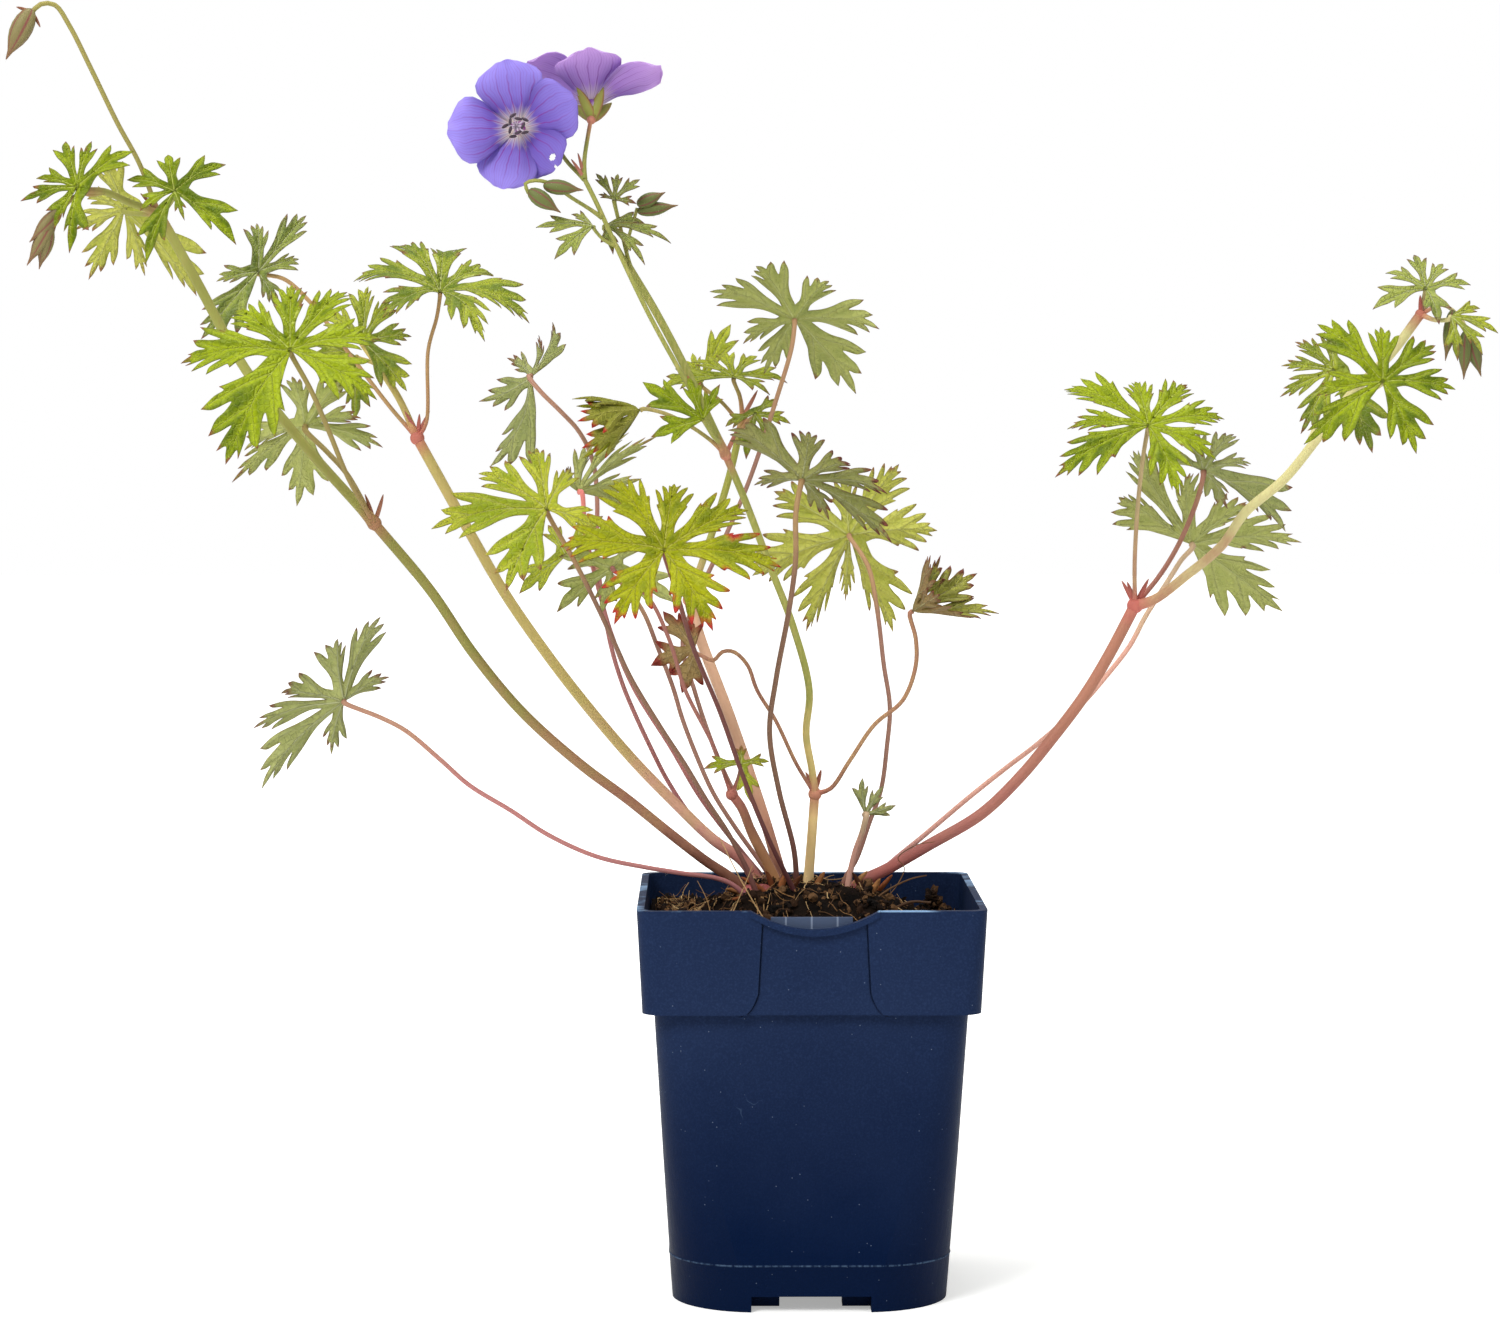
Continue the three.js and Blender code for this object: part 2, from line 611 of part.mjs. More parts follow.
// Each stem: runs are the stretches between its nodes and the petioles and pedicels that leave them.
const stems = {
  stem_far_left: {
    color: 0x7d7a3a,
    runs: [
      {
        rooted: true, radius: 1.6,
        at: [
          [-22, -12, 132], [-34, -16, 141], [-45, -20, 150], [-58, -24, 161], [-73, -31, 173],
          [-91, -38, 190], [-106, -45, 209], [-119, -50, 229], [-136, -54, 250],
        ],
      },
      {
        radius: 1.55,
        at: [
          [-136, -54, 250], [-159, -54, 276], [-176, -52, 298], [-191, -50, 325], [-200, -48, 341],
          [-203, -47, 346],
        ],
      },
      {
        radius: 0.78, leaf: 'leaf_bright_left',
        at: [[-136, -54, 250], [-143, -64, 264], [-148, -72, 278], [-153, -78, 291]],
      },
      { radius: 0.85, leaf: 'leaf_behind_left', at: [[-136, -54, 250], [-145, -46, 265], [-152, -38, 272]] },
      { radius: 1.1, at: [[-203, -47, 346], [-211, -54, 349], [-218, -60, 352], [-224, -64, 352]] },
      { radius: 0.75, leaf: 'leaf_top_left', at: [[-218, -60, 352], [-222, -62, 351]] },
      { radius: 0.75, leaf: 'leaf_top_under', at: [[-203, -47, 346], [-208, -42, 346]] },
      { radius: 0.75, leaf: 'leaf_top_front', at: [[-203, -47, 346], [-200, -53, 347]] },
      {
        radius: 0.75,
        at: [
          [-203, -47, 346], [-208, -52, 361], [-214, -56, 373], [-221, -62, 389],
          [-227, -66, 402], [-231, -68, 408], [-235, -70, 408], [-238, -71, 405],
        ],
      },
      { radius: 0.6, at: [[-224, -64, 352], [-229, -67, 347], [-233, -69, 340]] },
    ],
    swellings: [[-136, -54, 250, 2.3], [-203, -47, 346, 2], [-224, -64, 352, 1.5]],
    scales: [
      [[-136, -54, 250], [-133, -56, 259], 1.3], [[-136, -54, 250], [-139, -52, 259], 1.3],
      [[-203, -47, 346], [-208, -50, 352], 1.3], [[-203, -47, 346], [-198, -46, 352], 1.3],
      [[-237.5, -71, 405.5], [-242, -72, 407], 1], [[-237.5, -71, 405.5], [-235, -71, 401], 1],
    ],
    buds: [
      [[-237.5, -71, 406.5], [-245, -74, 391], 7], [[-230, -67, 346], [-239, -71, 336], 5],
      [[-232, -68, 343], [-240, -70, 329], 5], [[-233, -69, 341], [-237, -66, 328], 5],
    ],
  },
  stem_left: {
    color: 0x8d8b45,
    runs: [
      {
        rooted: true, radius: 1.75,
        at: [
          [-21, 5, 138], [-31, 8, 145], [-44, 13, 157], [-58, 18, 171], [-76, 23, 192],
          [-89, 26, 209], [-100, 28, 225], [-110, 31, 242], [-129, 34, 276],
        ],
      },
      { radius: 1.15, leaf: 'leaf_whorl_back', at: [[-129, 34, 276], [-135, 35, 289], [-142, 36, 300]] },
      { radius: 0.7, leaf: 'leaf_pale_back', at: [[-141, 36, 299], [-144, 41, 301]] },
      {
        radius: 0.7, leaf: 'leaf_dark_back',
        at: [[-129, 34, 276], [-138, 38, 286], [-152, 42, 304], [-165, 44, 321], [-174, 43, 329]],
      },
      {
        radius: 0.62, leaf: 'leaf_tall_left',
        at: [[-129, 34, 276], [-126, 33, 281], [-125, 30, 305], [-122, 29, 316]],
      },
    ],
    swellings: [[-129, 34, 276, 2.4]],
    scales: [
      [[-129, 34, 277], [-133, 32, 285], 1.3], [[-129, 34, 277], [-125, 36, 285], 1.3],
      [[-129, 34, 277], [-128, 31, 284], 1.3],
    ],
    buds: [],
  },
  stem_centre: {
    color: 0x8c9a45,
    runs: [
      { rooted: true, radius: 1.5, at: [[0, 0, 132], [1, -2, 146], [2, -4, 161]] },
      {
        radius: 1.15,
        at: [
          [2, -4, 161], [1, -7, 169], [-1, -10, 181], [0, -12, 195],
          [-5, -16, 215], [-13, -22, 236], [-21, -28, 257], [-27, -34, 271],
        ],
      },
      {
        radius: 1.25,
        at: [[-27, -34, 271], [-33, -36, 284], [-38, -36, 295], [-49, -34, 316], [-58, -32, 331]],
      },
      { radius: 0.6, leaf: 'leaf_bract', at: [[-58, -32, 331], [-62, -31, 338]] },
      { radius: 0.6, leaf: 'leaf_bract_top', at: [[-57, -32, 330], [-60, -28, 342]] },
      { radius: 0.55, at: [[-58, -32, 331], [-58, -24, 338], [-55, -21, 349]] },
      {
        radius: 0.75,
        at: [
          [-27, -34, 271], [-35, -43, 286], [-51, -44, 315], [-62, -42, 338], [-67, -42, 349],
          [-71, -42, 357],
        ],
      },
      { radius: 0.5, leaf: 'leaf_bract_left', at: [[-61, -42, 336], [-65, -44, 338]] },
      { radius: 0.65, at: [[-71, -42, 357], [-71, -41, 363], [-70, -40, 370], [-69, -38, 376]] },
      {
        radius: 0.65,
        at: [[-71, -42, 357], [-76, -38, 362], [-80, -36, 367], [-86, -35, 370], [-91, -39, 372]],
      },
      {
        radius: 0.6,
        at: [
          [-65.5, -42, 345], [-70, -43, 348], [-75, -46, 351], [-81, -49, 355], [-86, -51, 356],
          [-89, -51, 355], [-88, -51, 352],
        ],
      },
      {
        radius: 0.62, leaf: 'leaf_curled',
        at: [[-27, -34, 271], [-31, -36, 275], [-38, -37, 280], [-46, -36, 284]],
      },
      { radius: 0.62, leaf: 'leaf_fork', at: [[-29, -37, 275], [-31, -46, 277]] },
      {
        radius: 0.65, leaf: 'leaf_red',
        at: [
          [2, -4, 161], [-4, -10, 171], [-11, -18, 186], [-17, -22, 196], [-20, -24, 204],
          [-24, -22, 208], [-28, -18, 208], [-31, -15, 205], [-34, -12, 206],
        ],
      },
      {
        radius: 0.7, leaf: 'leaf_crumpled',
        at: [
          [2, -4, 161], [7, -6, 163], [13, -8, 172], [21, -10, 184], [30, -12, 192], [34, -14, 203],
          [34, -15, 212],
        ],
      },
    ],
    swellings: [[2, -4, 161, 2.2], [-27, -34, 271, 1.8], [-69, -38, 375.5, 1.4], [-91, -39, 372, 1.5]],
    scales: [
      [[2, -4, 162], [4, -5, 169], 1.5], [[2, -4, 162], [-1, -2, 168], 1.5],
      [[-27, -34, 271], [-23, -33, 280], 1.3], [[-71, -42, 357], [-75, -44, 363], 1],
      [[-71, -42, 357], [-73, -42, 365], 1],
    ],
    calyxes: [
      { at: [-69, -38, 376], axis: [-0.05, 0.6, 0.8], turn: 234, reach: 9, rise: 6, width: 3 },
      { at: [-91, -39, 372], axis: [-0.1, -1, 0.12], turn: 54, reach: 9, rise: 2, width: 3 },
    ],
    buds: [
      [[-88, -51, 353], [-78, -52, 346], 5.4], [[-83.5, -50, 354.5], [-71, -51, 353], 5],
      [[-55, -22, 350], [-46, -22, 354], 4.6], [[-55, -21, 348], [-42, -20, 350], 4.6],
    ],
  },
  stem_back: {
    color: 0x9a7a4c,
    runs: [
      {
        rooted: true, radius: 1.8,
        at: [[-8, 10, 131], [-14, 14, 151], [-25, 24, 183], [-35, 34, 209], [-39, 40, 222]],
      },
      { radius: 1.2, at: [[-39, 40, 222], [-31, 46, 245], [-25, 50, 265], [-21, 54, 283]] },
      { radius: 0.65, leaf: 'leaf_upper_a', at: [[-21, 54, 283], [-22, 54, 290]] },
      { radius: 0.65, leaf: 'leaf_upper_b', at: [[-22, 53, 278], [-19, 50, 282]] },
      { radius: 0.65, leaf: 'leaf_toothed', at: [[-22, 54, 281], [-28, 60, 288]] },
    ],
    swellings: [[-39, 40, 222, 2.2], [-21, 54, 283, 1.7]],
    scales: [
      [[-21, 54, 283], [-16, 52, 292], 1.3], [[-21, 54, 283], [-22, 60, 292], 1.3],
    ],
    buds: [],
  },
  stem_short: {
    color: 0x8a7048,
    runs: [
      { rooted: true, radius: 1.5, at: [[-12, -8, 136], [-18, -12, 148], [-22, -15, 158], [-25, -16, 162]] },
      {
        radius: 0.65, leaf: 'leaf_behind_front',
        at: [[-25, -16, 162], [-31, -17, 178], [-40, -18, 196], [-45, -19, 212], [-52, -20, 226]],
      },
      { radius: 0.6, leaf: 'leaf_low_small', at: [[-25, -16, 162], [-23, -17, 167]] },
    ],
    swellings: [[-25, -16, 162, 2]],
    scales: [[[-25, -16, 162], [-28, -15, 169], 1.3], [[-25, -16, 162], [-22, -13, 169], 1.3]],
    buds: [],
  },
  stem_right: {
    color: 0xa08a55,
    runs: [
      {
        rooted: true, radius: 1.9,
        at: [
          [16, -2, 131], [26, 2, 136], [39, 6, 143], [57, 11, 153], [70, 14, 165],
          [81, 16, 178], [91, 18, 191], [99, 19, 204], [108, 20, 221],
        ],
      },
      {
        radius: 1.55,
        at: [
          [108, 20, 221], [114, 18, 223], [124, 14, 231], [135, 9, 241], [142, 4, 252],
          [154, -1, 263], [164, -4, 276], [174, -8, 290], [187, -6, 303], [197, -4, 316],
        ],
      },
      {
        radius: 0.7, leaf: 'leaf_right_a',
        at: [[108, 20, 221], [107, 12, 236], [107, 2, 256], [108, -5, 272]],
      },
      {
        radius: 0.85, leaf: 'leaf_right_b',
        at: [[108, 20, 221], [117, 26, 231], [124, 30, 242], [130, 33, 256]],
      },
      { radius: 0.7, leaf: 'leaf_far_right', at: [[169, -7, 284], [173, -18, 288], [177, -28, 291]] },
      { radius: 0.7, leaf: 'leaf_far_right_back', at: [[162, -4, 276], [166, 8, 283], [170, 17, 292]] },
      { radius: 0.7, leaf: 'leaf_tip_right', at: [[196, -4, 314], [198, -1, 319]] },
      { radius: 0.7, leaf: 'leaf_tip_right_b', at: [[197, -4, 316], [201, -9, 314]] },
      { radius: 0.6, at: [[197, -4, 316], [204, -4, 319], [210, -3, 315], [213, -3, 309]] },
    ],
    swellings: [[108, 20, 221, 2.7], [197, -4, 316, 1.8]],
    scales: [
      [[108, 20, 221], [105, 16, 229], 1.5], [[108, 20, 221], [112, 16, 230], 1.5],
      [[108, 20, 221], [104, 24, 229], 1.5], [[197, -4, 316], [196, -9, 322], 1.2],
    ],
    buds: [
      [[207.5, -4, 317.5], [205, -5, 301], 4.6], [[212, -3, 311], [211, -5, 295], 5],
      [[213, -3, 309], [217, -3, 296], 5],
    ],
  },
};

// Petioles that rise straight from the crown, each to its own leaf.
const petioles = {
  petiole_low_left: {
    leaf: 'leaf_low_left', color: 0xa8665a,
    at: [
      [-26, -20, 134], [-42, -27, 138], [-52, -30, 140], [-68, -34, 144], [-83, -36, 151],
      [-95, -37, 159], [-108, -37, 167], [-117, -37, 175], [-128, -35, 184], [-136, -33, 188],
    ],
  },
  petiole_wide_left: {
    leaf: 'leaf_wide_left', color: 0xa8665a,
    at: [
      [-20, -21, 138], [-26, -24, 150], [-33, -27, 161], [-40, -30, 173], [-47, -33, 184],
      [-57, -37, 201], [-62, -39, 212], [-68, -40, 225], [-74, -41, 237],
    ],
  },
  petiole_thin_left: {
    leaf: 'leaf_thin_left', color: 0xa8665a,
    at: [
      [-22, 12, 141], [-35, 14, 158], [-45, 14, 175], [-57, 8, 195], [-64, 0, 213], [-68, -6, 228],
      [-72, -9, 246],
    ],
  },
  petiole_edge_left: {
    leaf: 'leaf_edge_left', color: 0xa8665a,
    at: [
      [-19, 18, 134], [-28, 20, 141], [-38, 22, 151], [-46, 22, 163], [-51, 20, 173], [-57, 19, 186],
      [-61, 18, 196], [-65, 18, 210], [-69, 19, 237], [-69, 19, 256], [-70, 11, 268], [-74, -2, 278],
      [-80, -11, 285], [-86, -13, 291],
    ],
  },
  petiole_shaded: {
    leaf: 'leaf_shaded_left', color: 0x9a5c52,
    at: [
      [-14, 0, 136], [-24, 0, 150], [-31, 1, 161], [-36, 2, 172], [-41, 3, 185],
      [-44, 4, 195], [-49, 6, 208], [-54, 8, 220], [-61, 10, 229], [-69, 10, 234],
    ],
  },
  petiole_front: {
    leaf: 'leaf_front', color: 0x5a3038,
    at: [[-6, -18, 133], [-13, -26, 148], [-21, -34, 168], [-29, -44, 191], [-37, -54, 211], [-42, -62, 228]],
  },
  petiole_dark_centre: {
    leaf: 'leaf_dark_centre', radius: 0.85, color: 0x9a5c52,
    at: [
      [-4, -10, 133], [-5, -14, 144], [-10, -20, 164], [-13, -26, 183],
      [-11, -30, 200], [-7, -34, 222], [-5, -38, 238], [-5, -42, 253],
    ],
  },
  petiole_high_centre: {
    leaf: 'leaf_high_centre', color: 0xa8665a,
    at: [
      [-10, 2, 134], [-20, 2, 153], [-29, 6, 171], [-37, 16, 193], [-41, 24, 209],
      [-35, 28, 226], [-28, 30, 241], [-19, 29, 262], [-10, 27, 289], [-5, 26, 306],
    ],
  },
  petiole_backlit: {
    leaf: 'leaf_backlit', color: 0x7a4448,
    at: [
      [12, 5, 132], [16, 6, 139], [20, 8, 150], [24, 10, 161], [26, 12, 175],
      [27, 13, 188], [25, 14, 202], [23, 16, 219], [20, 18, 234],
    ],
  },
  petiole_low_right: {
    leaf: 'leaf_low_right', radius: 0.9, color: 0xb9a182,
    at: [[13, -8, 134], [15, -9, 143], [17, -11, 149]],
  },
  petiole_twin_right: {
    leaf: 'leaf_right_c', radius: 0.85, color: 0xa8665a,
    at: [
      [25, 9, 135], [39, 15, 146], [54, 20, 158], [66, 24, 167], [77, 27, 175], [91, 31, 187],
      [100, 33, 197], [108, 35, 207], [113, 37, 216], [123, 46, 230], [127, 52, 235],
    ],
  },
};
const PETIOLE_RADIUS = 0.75;

const STEP_LENGTH = { stem: 23, stalk: 17 }; // length of one straight step of a thick and a thin run
const THICK = 1.1; // radius past which a run counts as a stem

function stepsOf({ radius }, curve) {
  const step = radius > THICK ? STEP_LENGTH.stem : STEP_LENGTH.stalk;
  return Math.max(2, Math.round(curve.getLength() / step));
}

function runSolid(run) {
  const curve = routeOf(run);
  return tube(curve, run.radius, stepsOf(run, curve), run.radius > THICK ? STEM_SIDES : STALK_SIDES);
}

const rootedRuns = [];

for (const [name, { color, runs, swellings, scales, buds, calyxes = [] }] of Object.entries(stems)) {
  const pieces = [
    ...runs.map(runSolid),
    ...swellings.map(swelling),
    ...scales.map(scale),
    ...buds.map(bud),
    ...calyxes.flatMap(calyx),
  ];
  rootedRuns.push(...runs.filter((run) => run.rooted));
  place(name, geometryOf(joined(pieces)), color);
}

for (const [name, { leaf, color, at, radius = PETIOLE_RADIUS }] of Object.entries(petioles)) {
  const run = { leaf, at, radius, rooted: true };
  rootedRuns.push(run);
  place(name, geometryOf(runSolid(run)), color);
}

// ---- flowers: five broad petals round a centre, and the stamens of the open one ----
// Rows across a petal, from its claw: [along, half its width there], in petal lengths.
const PETAL_ROWS = [[0.08, 0.08], [0.36, 0.3], [0.66, 0.48], [0.88, 0.42], [1, 0.22]];
const PETAL_ACROSS = [-1, -0.4, 0.4, 1];
const PETAL_CURL = -0.05;
const PETAL_ROUND = 0.09; // how far a row's ends fall back towards the claw

function petal({ centre, axis, cup, lean }, tip) {
  const length = vec(tip).length();
  const along = vec(tip).normalize();
  const up = vec(axis).normalize();
  up.addScaledVector(along, -up.dot(along)).normalize();
  const out = up.clone().cross(along);
  const points = [];
  for (const [a, width] of PETAL_ROWS) {
    for (const b of PETAL_ACROSS) {
      const reach = a * (1 - PETAL_ROUND * b * b);
      const rise = cup * 4 * a * (1 - a) + PETAL_CURL * b * b + lean * b * width;
      points.push(
        vec(centre)
          .addScaledVector(along, reach * length)
          .addScaledVector(out, b * width * length)
          .addScaledVector(up, rise * length),
      );
    }
  }
  const triangles = [];
  const across = PETAL_ACROSS.length;
  for (let row = 0; row + 1 < PETAL_ROWS.length; row += 1) {
    for (let column = 0; column + 1 < across; column += 1) {
      const a = row * across + column;
      triangles.push([a, a + across, a + across + 1], [a, a + across + 1, a + 1]);
    }
  }
  return thickened(points, triangles, PETAL);
}

// cup bends a petal along its length; lean tips it about its length, over one neighbour and under the other
const flowers = {
  corolla_open: {
    color: 0x6f62cf, centre: [-91.5, -44, 372.5], axis: [-0.1, -1, 0.12], cup: 0.06, lean: 0.12,
    tips: [[-4, -3, 21], [-22, -3, -1], [-5, -4, -19], [12, -5, -13], [18, -4, 9]],
  },
  corolla_side: {
    color: 0x8a66bd, centre: [-69, -35, 380], axis: [-0.05, 0.6, 0.8], cup: 0.14, lean: 0.12,
    tips: [[-1, -13, 17], [22, -5, 12], [11, 16, 11], [-12, 16, 12], [-21, 1, 13]],
  },
};

for (const [name, flower] of Object.entries(flowers)) {
  const disc = new THREE.SphereGeometry(2.6, 6, 4).scale(1, 0.8, 1);
  const above = vec(flower.centre).add(vec(flower.axis)).toArray();
  const petals = flower.tips.map((tip) => solid(petal(flower, tip)));
  place(name, geometryOf(joined([aimed(disc, flower.centre, above), ...petals])), flower.color, 0.5);
}

const STAMENS = {
  count: 10,
  base: [-91.8, -46.1, 372.8],
  spread: 3.4,
  rise: 5.2,
  filament: 0.7,
  anther: 1.2,
};

function makeStamens() {
  const { count, base, spread, rise, filament, anther } = STAMENS;
  const [x, y, z] = base;
  const pieces = [swelling([x, y - 0.9, z, 0.9])];
  for (let k = 0; k < count; k += 1) {
    const angle = (2 * Math.PI * k) / count;
    const wide = spread * (k % 2 ? 1 : 0.65);
    const end = [x + wide * Math.cos(angle), y - rise * (k % 2 ? 0.7 : 1), z + wide * Math.sin(angle)];
    const start = [x, y - 0.8, z];
    const length = distance(start, end);
    const stalk = new THREE.ConeGeometry(filament, length, 3).translate(0, length / 2, 0);
    pieces.push(aimed(stalk, start, end));
    pieces.push(solid(new THREE.OctahedronGeometry(anther, 0).scale(1, 0.5, 0.5).translate(...end)));
  }
  return joined(pieces);
}

place('stamens_open', geometryOf(makeStamens()), 0xcfc7b0);

// ---- soil: peat that fills the pot, heaped round the crown, with a plain hole for every stem ----
const SOIL_RINGS = [1, 0.52]; // shares of the way from the middle to the wall
const SOCKET_LENGTH = 26; // how much of each stem may lie in the peat

function peatHeight(x, y) {
  const mound = SOIL_MOUND * Math.exp(-((((x - 2) / 36) ** 2 + ((y + 4) / 28) ** 2) ** 2));
  const lumps = 0.9 * Math.sin(x * 0.31 + 1) * Math.cos(y * 0.27) + 0.6 * Math.sin(x * 0.17 + y * 0.41);
  return SOIL_EDGE + mound + lumps - SOIL_FALL * x;
}

// The straight steps of a run that lie in the peat, lengthened downwards to clear the foot of the stem.
function socket(run) {
  const curve = routeOf(run);
  const steps = stepsOf(run, curve);
  const inside = Math.ceil((SOCKET_LENGTH / curve.getLength()) * steps);
  const points = curve.getSpacedPoints(steps).slice(0, inside + 1);
  points[0].lerp(points[1], -0.08);
  const path = new THREE.CurvePath();
  for (let i = 0; i < inside; i += 1) path.add(new THREE.LineCurve3(points[i], points[i + 1]));
  return tube(path, run.radius + 2 * GAP, inside, 5);
}

function makeSoil() {
  const inside = WALL + FLAP + GAP;
  const share = (SOIL_EDGE - 5 - SHOULDER) / COLLAR_HEIGHT;
  const edge = COLLAR_FOOT / 2 + (share * (RIM - COLLAR_FOOT)) / 2 - inside;
  const rings = [
    { z: FLOOR + GAP, half: BASE / 2 - WALL - GAP, round: 25 },
    { z: SHOULDER * 0.5, half: (BASE + WAIST) / 4 - WALL - GAP, round: 16 },
    { z: SHOULDER + WALL + GAP, half: WAIST / 2 - WALL - GAP - 0.2, round: 8 },
    { z: SHOULDER + WALL + GAP + 0.1, half: COLLAR_FOOT / 2 - inside - 0.1, round: 6 },
  ].map(ringPoints);
  for (const way of SOIL_RINGS) {
    const half = edge * way;
    rings.push(ringPoints({ z: 0, half, round: 5 + (1 - way) * half }));
    rings.at(-1).forEach((p) => p.setZ(peatHeight(p.x, p.y)));
  }
  let soil = solid(skinned(rings));
  const slot = [TAB.left - 1.6, TAB.right + 1.6, -RIM / 2, TAB.back + GAP + 0.2, TAB.low - 1, RIM * 2];
  soil = soil.subtract(block(...slot));
  for (const run of rootedRuns) soil = soil.subtract(socket(run));
  return soil;
}

place('soil', geometryOf(makeSoil()), 0x2b211b, 0.95);

// the origin is under the middle of the whole plant, on the surface that the pot stands on
const box = new THREE.Box3().setFromObject(group);
group.position.set(-(box.min.x + box.max.x) / 2, -(box.min.y + box.max.y) / 2, -box.min.z);

export default group;
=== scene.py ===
"""Hardy geranium in a square nursery pot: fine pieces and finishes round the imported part.

Lengths in the tables are millimetres from the foot of the pot's own axis, as the plant was put together.
"""
import math
import random

import bmesh
import bpy
import numpy as np
from mathutils import Euler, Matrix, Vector
from mathutils.geometry import delaunay_2d_cdt
from mathutils.noise import cell, fractal


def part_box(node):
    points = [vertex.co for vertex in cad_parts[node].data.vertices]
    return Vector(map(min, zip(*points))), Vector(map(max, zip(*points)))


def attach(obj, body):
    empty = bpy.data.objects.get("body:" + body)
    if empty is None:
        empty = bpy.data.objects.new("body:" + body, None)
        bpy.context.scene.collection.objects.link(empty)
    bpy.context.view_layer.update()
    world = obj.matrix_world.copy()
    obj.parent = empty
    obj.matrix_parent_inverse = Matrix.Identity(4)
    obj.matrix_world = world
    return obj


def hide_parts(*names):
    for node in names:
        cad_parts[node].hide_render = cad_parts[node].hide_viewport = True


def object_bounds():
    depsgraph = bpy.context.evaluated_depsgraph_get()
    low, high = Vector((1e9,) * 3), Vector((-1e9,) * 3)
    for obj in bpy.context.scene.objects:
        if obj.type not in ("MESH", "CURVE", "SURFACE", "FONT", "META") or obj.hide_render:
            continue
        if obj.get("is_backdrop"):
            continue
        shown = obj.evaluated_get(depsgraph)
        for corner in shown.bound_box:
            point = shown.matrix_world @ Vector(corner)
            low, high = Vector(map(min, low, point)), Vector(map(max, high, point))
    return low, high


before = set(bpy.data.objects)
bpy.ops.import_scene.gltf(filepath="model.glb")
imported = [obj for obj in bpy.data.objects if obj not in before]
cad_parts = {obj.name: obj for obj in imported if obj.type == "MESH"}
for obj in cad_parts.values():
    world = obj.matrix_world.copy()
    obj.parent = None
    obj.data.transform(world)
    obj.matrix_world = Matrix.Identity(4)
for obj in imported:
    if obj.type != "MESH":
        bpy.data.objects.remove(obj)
cad_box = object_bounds()


# ---- Pot ----
# One thin shell of navy polypropylene, injection moulded. A deep collar stiffens the rim, with flaps at its
# corners and a recessed panel in front, and four hollow feet hold it off the shelf.
MM = 0.001
RIM = 110
COLLAR_FOOT = 106.7
WAIST = 99.5
BASE = 88.6
POT_HEIGHT = 129
COLLAR_HEIGHT = 33
SHOULDER = POT_HEIGHT - COLLAR_HEIGHT
WALL = 1.5
FOOT_HEIGHT = 5.7
FOOT_NOTCH = 38
FLAP = 0.8
FLOOR = FOOT_HEIGHT + WALL
LEDGE = 15
PANEL = {"left": -15.5, "right": 17, "tuck": 3.5, "round": 7, "groove": 0.5}
DIP = {"left": -19.3, "right": 21, "depth": 5.9}
TAB = {"left": -13, "right": 12.7, "low": 108, "top": 126.6, "back": -49.6, "thick": 1.2}
DRAIN = {"radius": 4, "out": 22, "sides": 24}
DRAIN_HOLES = ((0, 0), (1, 1), (-1, 1), (-1, -1), (1, -1))
# how far the corners are rounded off at each height, outside and inside
CORNER = {"base": 28, "ledge": 24.7, "above": 24.6, "middle": 17, "waist": 9, "shoulder": 7, "rim": 5}
HOLLOW_CORNER = {"base": 25, "middle": 16, "waist": 8, "shoulder": 6, "rim": 4.5}
# the ledge is a bead round the walls, and the lip a thick edge along the dip in the front rim
BEAD = {"half": 0.35, "proud": 0.22}
LIP = {"deep": 2, "proud": 0.5, "back": 1.6, "cut": 0.8}
RIBS = {"front": 2, "short": 8}
# the hollow under the floor, and the small blocks beside the notches in each side
UNDERSIDE = {"half": 36, "round": 20, "roof": FOOT_HEIGHT - 0.6}
FOOT_BLOCKS = {"low": 0.5, "near": 10, "inner": 30, "outer": 37}
POT_CORNER_STEPS = 14
POT_EDGE = 0.35

pot_low, pot_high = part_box("pot")
pot_foot = np.array([(pot_low.x + pot_high.x) / 2, pot_high.y - RIM / 2 * MM, 0.0])


def in_row(points):
    """Millimetres from the pot's foot, as metres in the row frame."""
    return np.asarray(points, float).reshape(-1, 3) * MM + pot_foot


def mesh_object(name, points, faces, marks=None, smooth=True):
    """A mesh from millimetre points, with one number or one triple of numbers a point for each mark."""
    mesh = bpy.data.meshes.new(name)
    mesh.from_pydata(in_row(points).tolist(), [], faces)
    for mark, values in (marks or {}).items():
        values = np.asarray(values, np.float32)
        kind, key = ("FLOAT_VECTOR", "vector") if values.ndim == 2 else ("FLOAT", "value")
        mesh.attributes.new(mark, kind, "POINT").data.foreach_set(key, values.ravel())
    mesh.polygons.foreach_set("use_smooth", [smooth] * len(mesh.polygons))
    mesh.update()
    shown = bpy.data.objects.new(name, mesh)
    bpy.context.scene.collection.objects.link(shown)
    return shown


def dress(shown, material, slot, *nodes):
    """Gives a finished piece its material and hides the nodes it stands for; its slot is not used."""
    shown.data.materials.clear()
    shown.data.materials.append(material)
    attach(shown, "root")
    if nodes:
        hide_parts(*nodes)
    return shown


def square_ring(z, half, round_off):
    """Points round a square with rounded corners, anticlockwise from above."""
    ring = []
    for quarter in range(4):
        middle = quarter * math.pi / 2 + math.pi / 4
        cx = (half - round_off) * math.sqrt(2) * math.cos(middle)
        cy = (half - round_off) * math.sqrt(2) * math.sin(middle)
        for step in range(POT_CORNER_STEPS + 1):
            angle = quarter * math.pi / 2 + step / POT_CORNER_STEPS * math.pi / 2
            ring.append((cx + round_off * math.cos(angle), cy + round_off * math.sin(angle), z))
    return ring


